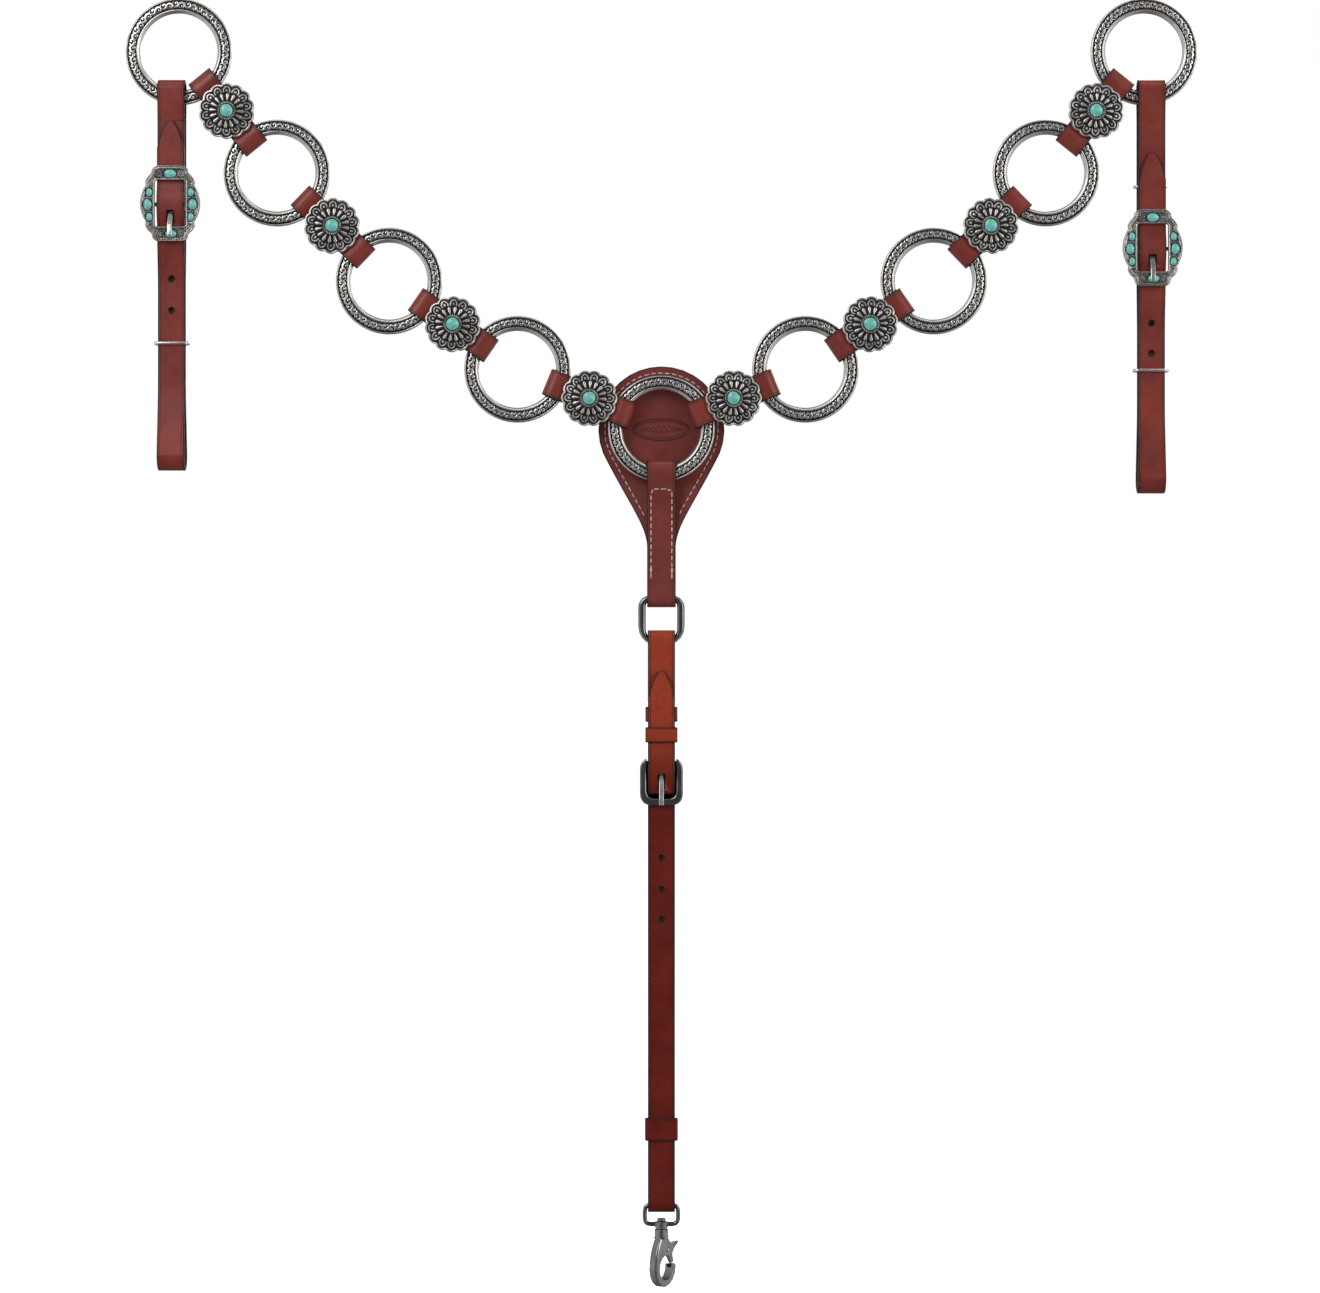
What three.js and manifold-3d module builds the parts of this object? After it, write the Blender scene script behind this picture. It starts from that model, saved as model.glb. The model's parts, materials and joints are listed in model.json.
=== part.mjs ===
// Western ring breast collar: nine cast rings joined by concho links, a leather shield with a
// drop strap, a buckled tie-down strap with a trigger snap, and two buckled tugs.
// Millimetres. X to the right, Y away from the viewer (the dressed side faces -Y), Z up.
// The origin is midway between the centres of the two end rings, which hold the collar up.

import * as THREE from 'three';
import { mergeVertices } from 'three/addons/utils/BufferGeometryUtils.js';
import Module from 'manifold-3d';

const wasm = await Module();
wasm.setup();

// ---- driving dimensions -------------------------------------------------------------------
const GAP = 0.3;                 // clearance between pieces that lie against each other
const LEATHER = 2.6;             // strap leather thickness
const STRAP_WIDTH = 19;          // three-quarter inch strap
const LAYER = LEATHER + GAP;     // pitch between two layers of strap

const RING_OUTER = 37.3;         // three inch ring
const RING_INNER = 26.9;
const RING_HALF_THICK = 3.2;
const RING_TUBE = (RING_OUTER + RING_INNER) / 2;
const RING_HALF_WIDE = (RING_OUTER - RING_INNER) / 2;
const LINKS_PER_SIDE = 4;
const LINK_PITCH = 109;          // ring centre to ring centre
const CATENARY = 0.275;          // slope gained from one link to the next

const CONCHO_RADIUS = 19.5;
const CONCHO_LOBES = 14;
const CONCHO_BACK = 6.9;         // underside of the concho's rim, in front of the link's middle
const POST_RADIUS = 2.2;

const SHIELD_RADIUS = 44.3;
const SHIELD_LEATHER = 2.4;
const LINING_LEATHER = 1.8;
const NECK_WIDTH = 20;
const SHIELD_FACE = 9.6;         // middle of the shield leather behind the centre ring

const DEE_WIDTH = 32.5;
const DEE_HEIGHT = 34.7;
const DEE_BAR = 4.4;
const DEE_SIDE = 5.3;            // the dee's bar is wider down its two sides

const HEEL_BAR_RADIUS = 1.6;
const HOLE_RADIUS = 1.9;

// ---- colours ------------------------------------------------------------------------------
const CHESTNUT = 0x7a2a1e;
const SILVER = 0x9a9690;
const GUNMETAL = 0x4a4a4c;
const look = (color, roughness, metalness) => new THREE.MeshStandardMaterial({ color, roughness, metalness });
const leatherLook = () => look(CHESTNUT, 0.45, 0);
const silverLook = () => look(SILVER, 0.35, 1);
const darkLook = () => look(GUNMETAL, 0.3, 1);

// ---- solids -------------------------------------------------------------------------------
function solid(geometry) {
  const bare = geometry.clone();
  bare.deleteAttribute('normal');
  bare.deleteAttribute('uv');
  const merged = mergeVertices(bare, 1e-4);
  const vertProperties = new Float32Array(merged.attributes.position.array);
  const triVerts = new Uint32Array(merged.index.array);
  return new wasm.Manifold(new wasm.Mesh({ numProp: 3, vertProperties, triVerts }));
}

function geometryOf(manifold) {
  const mesh = manifold.getMesh();
  const geometry = new THREE.BufferGeometry();
  geometry.setAttribute('position', new THREE.BufferAttribute(mesh.vertProperties, 3));
  geometry.setIndex(new THREE.BufferAttribute(mesh.triVerts, 1));
  geometry.computeVertexNormals();
  return geometry;
}

function named(name, geometry, material) {
  const mesh = new THREE.Mesh(geometry, material);
  mesh.name = name;
  return mesh;
}

// Where a shape drawn in (x, y) and pushed along z stands in the world:
// side views are drawn as (height, depth), front views as (across, height).
function stood(geometry, xAxis, yAxis, zAxis) {
  const turn = new THREE.Matrix4().makeBasis(xAxis, yAxis, zAxis);
  return geometry.applyMatrix4(turn);
}
const X = new THREE.Vector3(1, 0, 0);
const Y = new THREE.Vector3(0, 1, 0);
const Z = new THREE.Vector3(0, 0, 1);

// A bar of round section along any axis, given by its two ends.
function rod(from, to, radius, sides = 12) {
  const along = new THREE.Vector3().subVectors(to, from);
  const bar = new THREE.CylinderGeometry(radius, radius, along.length(), sides);
  const turn = new THREE.Quaternion().setFromUnitVectors(Y, along.clone().normalize());
  bar.applyQuaternion(turn);
  const middle = new THREE.Vector3().addVectors(from, to).multiplyScalar(0.5);
  return bar.translate(middle.x, middle.y, middle.z);
}

function block(low, high) {
  const size = new THREE.Vector3().subVectors(high, low);
  const middle = new THREE.Vector3().addVectors(low, high).multiplyScalar(0.5);
  return new THREE.BoxGeometry(size.x, size.y, size.z).translate(middle.x, middle.y, middle.z);
}
const at = (x, y, z) => new THREE.Vector3(x, y, z);

// ---- paths --------------------------------------------------------------------------------
// A polyline whose corners are eased by short curves. Each corner is [height, depth, easing].
function easedPath(corners, steps = 2) {
  const points = corners.map(([p, q]) => new THREE.Vector2(p, q));
  const path = [points[0]];
  for (let i = 1; i < points.length - 1; i += 1) {
    const [before, corner, after] = [points[i - 1], points[i], points[i + 1]];
    const ease = corners[i][2] ?? 3;
    const start = corner.clone().sub(before);
    const end = after.clone().sub(corner);
    const a = corner.clone().addScaledVector(start.clone().normalize(), -Math.min(ease, start.length() / 2));
    const b = corner.clone().addScaledVector(end.clone().normalize(), Math.min(ease, end.length() / 2));
    const bend = new THREE.QuadraticBezierCurve(a, corner, b);
    path.push(...bend.getPoints(steps));
  }
  path.push(points.at(-1));
  return path.filter((point, i) => i === 0 || point.distanceTo(path[i - 1]) > 0.05);
}

function arcPath(centre, radius, fromDegrees, toDegrees, steps) {
  const points = [];
  for (let i = 0; i <= steps; i += 1) {
    const angle = THREE.MathUtils.degToRad(fromDegrees + (toDegrees - fromDegrees) * i / steps);
    const [along, across] = [radius * Math.cos(angle), radius * Math.sin(angle)];
    points.push(new THREE.Vector2(centre[0] + along, centre[1] + across));
  }
  return points;
}

// The path moved sideways by a distance, with mitred corners.
function beside(path, distance) {
  return path.map((point, i) => {
    const before = path[Math.max(i - 1, 0)];
    const after = path[Math.min(i + 1, path.length - 1)];
    const into = point.clone().sub(before).normalize();
    const out = after.clone().sub(point).normalize();
    const along = (i === 0 ? out : i === path.length - 1 ? into : into.clone().add(out)).normalize();
    const half = i === 0 || i === path.length - 1 ? 1 : Math.max(along.dot(out), 0.5);
    return new THREE.Vector2(point.x - along.y * distance / half, point.y + along.x * distance / half);
  });
}

// A strip of leather seen edge-on: the path is its middle line.
function stripShape(path, thickness) {
  const left = beside(path, thickness / 2);
  const right = beside(path, -thickness / 2).reverse();
  return new THREE.Shape([...left, ...right]);
}

// The strip pushed out to its width, centred on the drawing plane.
function strip(path, thickness, width) {
  const options = { depth: width, bevelEnabled: false };
  return new THREE.ExtrudeGeometry(stripShape(path, thickness), options).translate(0, 0, -width / 2);
}

// Side views are drawn with height to the right and depth upwards.
const fromSide = (geometry) => stood(geometry, Z, Y, X.clone().negate());
// Front views are drawn with X to the right and Z upwards; the push runs towards the viewer.
const fromFront = (geometry) => stood(geometry, X, Z, Y.clone().negate());

// A plate with chamfered edges, drawn as a front view. Its back is at y = 0, and it reaches to -Y.
function pushedPlate(shape, thickness, chamfer, curveSegments) {
  const depth = thickness - 2 * chamfer;
  const edges = { bevelThickness: chamfer, bevelSize: chamfer, bevelOffset: -chamfer, bevelSegments: 1 };
  const plate = new THREE.ExtrudeGeometry(shape, { depth, curveSegments, ...edges });
  return fromFront(plate).translate(0, -chamfer, 0);
}

function roundedRectangle(halfWide, low, high, radius, Kind = THREE.Shape) {
  const shape = new Kind();
  shape.moveTo(-halfWide + radius, low);
  shape.lineTo(halfWide - radius, low);
  shape.quadraticCurveTo(halfWide, low, halfWide, low + radius);
  shape.lineTo(halfWide, high - radius);
  shape.quadraticCurveTo(halfWide, high, halfWide - radius, high);
  shape.lineTo(-halfWide + radius, high);
  shape.quadraticCurveTo(-halfWide, high, -halfWide, high - radius);
  shape.lineTo(-halfWide, low + radius);
  shape.quadraticCurveTo(-halfWide, low, -halfWide + radius, low);
  return shape;
}

// ---- rings and where they hang ------------------------------------------------------------
const slopes = [];
for (let i = 0; i < LINKS_PER_SIDE; i += 1) slopes.push(Math.atan(CATENARY * (1.5 + i)));
const climb = slopes.map((slope) => [LINK_PITCH * Math.cos(slope), LINK_PITCH * Math.sin(slope)]);
const CENTRE_Z = -climb.reduce((sum, [, rise]) => sum + rise, 0);

// The centre of each ring on the right-hand side, counted from the centre ring outwards.
const ringCentres = [at(0, 0, CENTRE_Z)];
for (const [run, rise] of climb) ringCentres.push(ringCentres.at(-1).clone().add(at(run, 0, rise)));

function ringGeometry() {
  const section = [];
  const sides = 8;
  for (let i = 0; i <= sides; i += 1) {
    const angle = i / sides * Math.PI * 2;
    const across = RING_TUBE + RING_HALF_WIDE * Math.cos(angle);
    section.push(new THREE.Vector2(across, RING_HALF_THICK * Math.sin(angle)));
  }
  return new THREE.LatheGeometry(section, 28);
}

// ---- links --------------------------------------------------------------------------------
const LINK_SPAN = LINK_PITCH - 2 * RING_TUBE;

// A strap wrapped round a ring's tube at each end, its two ends meeting behind the concho.
// Drawn along the link, with depth as the second coordinate; `loose` opens the outer loop.
function linkPath(loose) {
  const layer = GAP / 2 + LEATHER / 2;
  const loops = [loose ? 4.9 : 3.55, 3.55].map((half) => half + LEATHER / 2);
  const reach = [loose ? 7.7 : 7.3, 7.3].map((inside) => inside + LEATHER / 2);
  const middle = LINK_SPAN / 2;
  const flat = 7;
  const nearEnd = arcPath([-reach[0] + loops[0], 0], loops[0], 90, 270, 6);
  const farEnd = arcPath([LINK_SPAN + reach[1] - loops[1], 0], loops[1], -90, 90, 6);
  return [
    new THREE.Vector2(middle - GAP / 2, layer),
    new THREE.Vector2(middle - flat, layer),
    new THREE.Vector2(0.5, loops[0]),
    ...nearEnd,
    new THREE.Vector2(0.5, -loops[0]),
    new THREE.Vector2(middle - flat, -layer),
    new THREE.Vector2(middle + flat, -layer),
    new THREE.Vector2(LINK_SPAN - 0.5, -loops[1]),
    ...farEnd,
    new THREE.Vector2(LINK_SPAN - 0.5, loops[1]),
    new THREE.Vector2(middle + flat, layer),
    new THREE.Vector2(middle + GAP / 2, layer),
  ];
}

function linkStrap(loose) {
  const band = solid(strip(linkPath(loose), LEATHER, STRAP_WIDTH));
  const middle = LINK_SPAN / 2;
  const hole = solid(rod(at(middle, -9, 0), at(middle, 9, 0), POST_RADIUS + GAP, 10));
  return geometryOf(band.subtract(hole));
}

// The concho: a domed flower with a short post that enters the strap.
function conchoGeometry() {
  const profile = [
    [0, -CONCHO_BACK - 5.6],
    [CONCHO_RADIUS, -CONCHO_BACK - 1.2],
    [CONCHO_RADIUS, -CONCHO_BACK],
    [5, -LAYER - GAP / 2],
    [POST_RADIUS, -LAYER - GAP / 2],
    [POST_RADIUS, -GAP / 2],
    [0, -GAP / 2],
  ].map(([radius, depth]) => new THREE.Vector2(radius, depth));
  const flower = new THREE.LatheGeometry(profile, CONCHO_LOBES * 2);
  const position = flower.attributes.position;
  for (let i = 0; i < position.count; i += 1) {
    const [x, z] = [position.getX(i), position.getZ(i)];
    const radius = Math.hypot(x, z);
    if (radius < CONCHO_RADIUS - 1) continue;
    const lobe = 1 - 0.03 * (1 - Math.cos(CONCHO_LOBES * Math.atan2(x, z)));
    position.setXYZ(i, x * lobe, position.getY(i), z * lobe);
  }
  return flower;
}

// The screw that comes in from behind: a domed head on a short shank.
function conchoScrew() {
  const head = LAYER - GAP / 2 + GAP;
  const profile = [
    [0, GAP / 2],
    [POST_RADIUS, GAP / 2],
    [POST_RADIUS, head],
    [5, head],
    [5, head + 1],
    [0, head + 2],
  ].map(([radius, depth]) => new THREE.Vector2(radius, depth));
  return new THREE.LatheGeometry(profile, 12);
}

// ---- buckled strap loops: the tie-down and the two tugs -------------------------------------
// Each is one strap. It starts at the chape round the buckle's bar, climbs in front, goes over
// the bar or ring that it hangs from, falls behind to its lower bend, climbs in front again,
// passes through the buckle and ends in a point. Heights run downwards from the strap's top.
const CHAPE_INNER = -0.95;
const CHAPE_OUTER = CHAPE_INNER - LAYER;
const BACK_LAYER = 3.85;

function loopStrap(strap) {
  const wrap = HEEL_BAR_RADIUS + GAP + LEATHER / 2;
  const [barZ, barY] = strap.bar;
  const rise = barY - wrap - LAYER;
  const lower = strap.lowerHalf + LEATHER / 2;
  const lowerCentre = strap.bottom + LEATHER + strap.lowerHalf;
  const top = strap.topHalf + LEATHER / 2;
  const topCentre = strap.top - LEATHER - strap.topHalf;
  const path = [
    ...easedPath([
      [barZ + 24, CHAPE_INNER],
      [barZ + 7, CHAPE_INNER, 3],
      [barZ + 1.5, barY + wrap, 2],
      [barZ, barY + wrap],
    ]),
    ...arcPath([barZ, barY], wrap, 90, 270, 6).slice(1),
    ...easedPath([
      [barZ + 1.5, barY - wrap],
      [barZ + 8, CHAPE_OUTER, 3],
      [topCentre - strap.settle, CHAPE_OUTER, 4],
      [topCentre, -top, 2],
    ]),
    ...arcPath([topCentre, 0], top, -90, 90, 6).slice(1),
    ...easedPath([
      [topCentre - 0.5, top],
      [topCentre - strap.settle, BACK_LAYER, 4],
      [strap.join + 26, BACK_LAYER, 8],
      [strap.join, LAYER / 2, 8],
      [lowerCentre + strap.spread, LAYER / 2, 8],
      [lowerCentre, lower, 6],
    ]),
    ...arcPath([lowerCentre, 0], lower, 90, 270, 8).slice(1),
    ...easedPath([
      [lowerCentre + 0.5, -lower],
      [lowerCentre + strap.spread, -LAYER / 2, 8],
      [strap.join, -LAYER / 2, 8],
      [strap.under[0], strap.under[1], 4],
      [strap.under[0] + 9, strap.under[1], 4],
      [barZ - 5, rise, 4],
      [barZ + 5, rise, 3],
      [barZ + 12, strap.billet, 3],
      [strap.tip, strap.billet],
    ]),
  ];
  const body = solid(fromSide(strip(path, LEATHER, strap.width)));
  const cuts = [];
  for (const z of strap.holes) cuts.push(rod(at(0, -12, z), at(0, 0, z), HOLE_RADIUS, 8));
  cuts.push(block(at(-2.3, barY - wrap - LEATHER / 2 - 0.15, barZ - 5), at(2.3, 1.7, barZ + 3.4)));
  cuts.push(block(at(-2.3, -14, barZ - strap.slot[1]), at(2.3, 0, barZ - strap.slot[0])));
  const half = strap.width / 2;
  for (const side of [-1, 1]) {
    const corner = new THREE.Shape();
    corner.moveTo(side * 1.2, strap.tip + 1);
    corner.quadraticCurveTo(side * half * 0.62, strap.tip - 4, side * half, strap.tip - 19);
    corner.lineTo(side * (half + 2), strap.tip - 19);
    corner.lineTo(side * (half + 2), strap.tip + 1);
    const options = { depth: 8, bevelEnabled: false, curveSegments: 5 };
    const wedge = fromFront(new THREE.ExtrudeGeometry(corner, options));
    cuts.push(wedge.translate(0, strap.billet + LEATHER / 2 + GAP / 2, 0));
  }
  return cuts.reduce((left, cut) => left.subtract(solid(cut)), body);
}

// A tongue: an eye round the buckle's bar and a prong that bends at the frame and lies on it.
function tongueGeometry([barZ, barY], knee, tip) {
  const eye = HEEL_BAR_RADIUS + GAP / 2;
  const bar = new THREE.Vector2(barZ, barY);
  const bend = new THREE.Vector2(...knee);
  const root = bend.clone().sub(bar).setLength(eye + 0.5).add(bar);
  const path = [root, bend, new THREE.Vector2(...tip)];
  const arm = fromSide(strip(path, 1.8, 3.4));
  const hub = rod(at(-1.7, barY, barZ), at(1.7, barY, barZ), eye + 1.1, 14);
  const bore = rod(at(-3, barY, barZ), at(3, barY, barZ), eye, 14);
  return geometryOf(solid(arm).add(solid(hub)).subtract(solid(bore)));
}

// A keeper or wire slide: a closed band round a stack of strap layers, with chamfered edges.
function keeperGeometry(keeper) {
  const { halfWide, front, back, band, height } = keeper;
  const outer = roundedRectangle(halfWide + band, front - band, back + band, band * 1.2);
  outer.holes.push(roundedRectangle(halfWide, front, back, band * 0.4, THREE.Path));
  const bevel = Math.min(band, height) * 0.28;
  const options = { depth: height - 2 * bevel, bevelThickness: bevel, bevelSize: bevel, bevelOffset: -bevel };
  const ring = new THREE.ExtrudeGeometry(outer, { ...options, bevelSegments: 1, curveSegments: 2 });
  return ring.translate(0, 0, -height / 2 + bevel);
}

// ---- the tie-down's plain buckle: a horseshoe frame with a straight heel bar ------------------
function plainBuckle(buckle) {
  const { halfWide, wire, heel, toe, depth, barY } = buckle;
  const open = roundedRectangle(halfWide, toe, heel + 4, 9);
  open.holes.push(roundedRectangle(halfWide - wire, toe + wire, heel + 1.6, 6, THREE.Path));
  const plate = pushedPlate(open, depth, 0.8, 5).translate(0, buckle.faceY + depth, 0);
  const cut = block(at(-halfWide + wire, -30, heel - 4), at(halfWide - wire, 10, heel + 8));
  const reach = halfWide - wire / 2;
  const bar = rod(at(-reach, barY, heel), at(reach, barY, heel), HEEL_BAR_RADIUS, 12);
  const horseshoe = solid(plate).subtract(solid(cut));
  return geometryOf(horseshoe.add(solid(bar)));
}

// ---- the tugs' ornamental buckle: a wavy plate with a window and a set-back centre bar ---------
// Half of the buckle's outline, from the middle of its lower edge: shares of its half sizes.
const ORNATE_HALF = [[0, -1], [0.28, -1], [0.46, -0.985], [0.575, -0.91], [0.625, -0.79], [0.745, -0.7],
  [0.825, -0.58], [0.82, -0.47], [0.9, -0.35], [0.98, -0.16], [1, 0], [0.98, 0.16], [0.9, 0.36], [0.82, 0.48],
  [0.83, 0.58], [0.755, 0.69], [0.64, 0.79], [0.595, 0.9], [0.46, 0.985], [0.28, 1], [0, 1]];

function ornateOutline(halfWide, low, high) {
  const [middle, half] = [(low + high) / 2, (high - low) / 2];
  const right = ORNATE_HALF.map(([x, z]) => new THREE.Vector2(x * halfWide, middle + z * half));
  const left = right.slice(1, -1).reverse().map((point) => new THREE.Vector2(-point.x, point.y));
  return new THREE.Shape([...right, ...left]);
}

function ornateBuckle(buckle) {
  const { halfWide, low, high, plate, faceY, barY } = buckle;
  const middle = (low + high) / 2;
  const outline = ornateOutline(halfWide, low, high);
  outline.holes.push(roundedRectangle(buckle.windowHalf, low + 10.5, high - 10.5, 1.5, THREE.Path));
  const face = pushedPlate(outline, plate, 0.6, 3).translate(0, faceY + plate, 0);
  const post = buckle.windowHalf + 1.6;
  let body = solid(face);
  for (const side of [-1, 1]) {
    const foot = rod(at(side * post, faceY + plate - 1.2, middle), at(side * post, barY, middle), 1.4, 10);
    body = body.add(solid(foot));
  }
  const bar = rod(at(-post - 1.3, barY, middle), at(post + 1.3, barY, middle), HEEL_BAR_RADIUS, 12);
  return geometryOf(body.add(solid(bar)));
}

// ---- assembly ---------------------------------------------------------------------------------
const breastplate = new THREE.Group();
breastplate.name = 'breastplate';

function addRing(name, centre) {
  const ring = named(name, ringGeometry(), silverLook());
  ring.position.copy(centre);
  breastplate.add(ring);
}

// Links are numbered by the ring on their outer side and drawn from that ring inwards.
function addLink(side, index) {
  const label = `${side > 0 ? 'right' : 'left'}_${index}`;
  const outer = ringCentres[index].clone();
  const inner = ringCentres[index - 1].clone();
  const along = inner.clone().sub(outer).normalize();
  const start = outer.addScaledVector(along, RING_TUBE);
  const place = new THREE.Group();
  place.position.set(side * start.x, 0, start.z);
  place.rotation.y = -Math.atan2(along.z, side * along.x);
  place.add(named(`link_strap_${label}`, linkStrap(index === LINKS_PER_SIDE), leatherLook()));
  const concho = named(`concho_${label}`, conchoGeometry(), silverLook());
  concho.position.x = LINK_SPAN / 2;
  const screw = named(`concho_screw_${label}`, conchoScrew(), darkLook());
  screw.position.x = LINK_SPAN / 2;
  place.add(concho, screw);
  breastplate.add(place);
}

addRing('ring_centre', ringCentres[0]);
for (let index = 1; index <= LINKS_PER_SIDE; index += 1) {
  const centre = ringCentres[index];
  addRing(`ring_right_${index}`, centre);
  addRing(`ring_left_${index}`, at(-centre.x, 0, centre.z));
  addLink(1, index);
  addLink(-1, index);
}

// The shield hangs behind the centre ring; its neck comes forward between the drop strap's layers.
const SHIELD_TOP = CENTRE_Z + SHIELD_RADIUS;
const PIVOT_Z = CENTRE_Z - RING_TUBE;
const DEE_TOP_Z = PIVOT_Z - 86.9;
const NECK_END = DEE_TOP_Z + 6.5;
const NECK_Y = -1.05;

function shieldPath() {
  return easedPath([
    [SHIELD_TOP + 1, SHIELD_FACE],
    [PIVOT_Z - 5, SHIELD_FACE, 6],
    [PIVOT_Z - 37, NECK_Y, 9],
    [NECK_END, NECK_Y],
  ]);
}

function shieldOutline() {
  const half = NECK_WIDTH / 2;
  const turn = THREE.MathUtils.degToRad(-32);
  const waist = at(SHIELD_RADIUS * Math.cos(turn), 0, CENTRE_Z + SHIELD_RADIUS * Math.sin(turn));
  const outline = new THREE.Shape();
  outline.moveTo(-half, NECK_END - 2);
  outline.lineTo(half, NECK_END - 2);
  outline.lineTo(half, PIVOT_Z - 50);
  outline.bezierCurveTo(half + 1, PIVOT_Z - 36, waist.x - 18, waist.z - 34, waist.x, waist.z);
  outline.absarc(0, CENTRE_Z, SHIELD_RADIUS, turn, Math.PI - turn, false);
  outline.bezierCurveTo(-waist.x + 18, waist.z - 34, -half - 1, PIVOT_Z - 36, -half, PIVOT_Z - 50);
  return outline;
}

function shieldSheet(path, thickness) {
  const sheet = solid(fromSide(strip(path, thickness, 2 * SHIELD_RADIUS + 4)));
  const options = { depth: 60, bevelEnabled: false, curveSegments: 12 };
  const outline = fromFront(new THREE.ExtrudeGeometry(shieldOutline(), options)).translate(0, 30, 0);
  return geometryOf(sheet.intersect(solid(outline)));
}

const liningOffset = SHIELD_LEATHER / 2 + GAP + LINING_LEATHER / 2;
breastplate.add(named('shield_front', shieldSheet(shieldPath(), SHIELD_LEATHER), leatherLook()));
const liningSheet = shieldSheet(beside(shieldPath(), -liningOffset), LINING_LEATHER);
breastplate.add(named('shield_lining', liningSheet, look(0x5d3a26, 0.9, 0)));

// The drop strap wraps the bottom of the centre ring, lies on the shield's neck, wraps the dee's
// top bar and is sewn up behind the lining.
const DROP_LOOP = 4.7 + LEATHER / 2;
function dropPath() {
  const neck = 3.85;
  const fold = DEE_TOP_Z - 0.8;
  return [
    ...easedPath([
      [PIVOT_Z - 27, NECK_Y + 0.1],
      [PIVOT_Z - 20, 1.1, 4],
      [PIVOT_Z - 8, 5, 4],
      [PIVOT_Z, DROP_LOOP],
    ]),
    ...arcPath([PIVOT_Z + 7.6 + LEATHER / 2 - DROP_LOOP, 0], DROP_LOOP, 90, -90, 8),
    ...easedPath([
      [PIVOT_Z, -DROP_LOOP],
      [PIVOT_Z - 24, -neck, 8],
      [fold, -neck],
    ]),
    ...arcPath([fold, 0], neck, 270, 90, 8).slice(1),
    new THREE.Vector2(DEE_TOP_Z + 41, neck),
  ];
}
const dropStrap = fromSide(strip(dropPath(), LEATHER, NECK_WIDTH));
breastplate.add(named('drop_strap', dropStrap, leatherLook()));

// The dee: a flattened loop with a straight top bar and a rounded bottom.
const DEE_HIGH = DEE_TOP_Z + DEE_BAR / 2;
const DEE_LOW = DEE_HIGH - DEE_HEIGHT;
const DEE_BOTTOM_BAR = DEE_LOW + DEE_BAR / 2;

function deeOutline(inset, sideInset, Kind) {
  const half = DEE_WIDTH / 2 - sideInset;
  const [low, high] = [DEE_LOW + inset, DEE_HIGH - inset];
  const [top, bottom] = [8 - sideInset, 13 - 1.15 * sideInset];
  const outline = new Kind();
  outline.moveTo(-half + bottom, low);
  outline.lineTo(half - bottom, low);
  outline.bezierCurveTo(half - bottom * 0.45, low, half, low + bottom * 0.45, half, low + bottom);
  outline.lineTo(half, high - top);
  outline.bezierCurveTo(half, high - top * 0.45, half - top * 0.45, high, half - top, high);
  outline.lineTo(-half + top, high);
  outline.bezierCurveTo(-half + top * 0.45, high, -half, high - top * 0.45, -half, high - top);
  outline.lineTo(-half, low + bottom);
  outline.bezierCurveTo(-half, low + bottom * 0.45, -half + bottom * 0.45, low, -half + bottom, low);
  return outline;
}

const dee = deeOutline(0, 0, THREE.Shape);
dee.holes.push(deeOutline(DEE_BAR, DEE_SIDE, THREE.Path));
const deePlate = pushedPlate(dee, DEE_BAR, 1.2, 5).translate(0, DEE_BAR / 2, 0);
breastplate.add(named('dee_loop', deePlate, darkLook()));

// ---- tie-down -----------------------------------------------------------------------------------
const TIE_TOP = DEE_BOTTOM_BAR + DEE_BAR / 2 + 3.4 + LEATHER;
const TIE_BAR = [-497.5, -3.6];
const TIE_BILLET = -8.65;
const tieDown = new THREE.Group();
tieDown.add(named('tie_down_strap', geometryOf(loopStrap({
  top: TIE_TOP,
  topHalf: 3.6,
  settle: 12,
  bar: TIE_BAR,
  tip: -433,
  billet: TIE_BILLET,
  under: [-531, -2.6],
  join: -556,
  bottom: -812,
  lowerHalf: 4.2,
  spread: 38,
  width: STRAP_WIDTH,
  holes: [-564, -586, -607],
  slot: [7.5, 18.5],
})), leatherLook()));

const [heel, barY] = TIE_BAR;
const tieBuckle = { halfWide: 15.2, wire: 4.9, heel, toe: -527.2, depth: 3.2, faceY: -8.3, barY };
tieDown.add(named('tie_down_buckle', plainBuckle(tieBuckle), darkLook()));
tieDown.add(named('tie_down_tongue', tongueGeometry(TIE_BAR, [-521.3, -9.6], [-527, -9.7]), silverLook()));

function addKeeper(group, name, z, keeper, material) {
  const mesh = named(name, keeperGeometry(keeper), material);
  mesh.position.z = z;
  group.add(mesh);
}
const sideRoom = STRAP_WIDTH / 2 + GAP;
const chapeBack = CHAPE_INNER + LEATHER / 2 + GAP;
const chapeFront = CHAPE_OUTER - LEATHER / 2 - GAP;
const billetFront = TIE_BILLET - LEATHER / 2 - GAP;
const joined = LAYER / 2 + LEATHER / 2 + GAP;
addKeeper(tieDown, 'tie_down_keeper_fixed', -463.5,
  { halfWide: sideRoom, front: chapeFront, back: chapeBack, band: 1.5, height: 10.5 }, leatherLook());
addKeeper(tieDown, 'tie_down_keeper_sliding', -477.8,
  { halfWide: sideRoom, front: billetFront, back: chapeBack, band: 1.5, height: 10.5 }, leatherLook());
addKeeper(tieDown, 'tie_down_keeper_lower', -754,
  { halfWide: sideRoom, front: -joined, back: joined, band: 1.8, height: 15.5 }, leatherLook());
breastplate.add(tieDown);

// ---- trigger snap -------------------------------------------------------------------------------
const EYE_BAR_Z = -806.9;
const EYE_WIRE = 3.2;
const EYE_HALF_WIDE = 13.3;
const EYE_LOW = -822;
const SNAP_TURN = THREE.MathUtils.degToRad(58);

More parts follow.
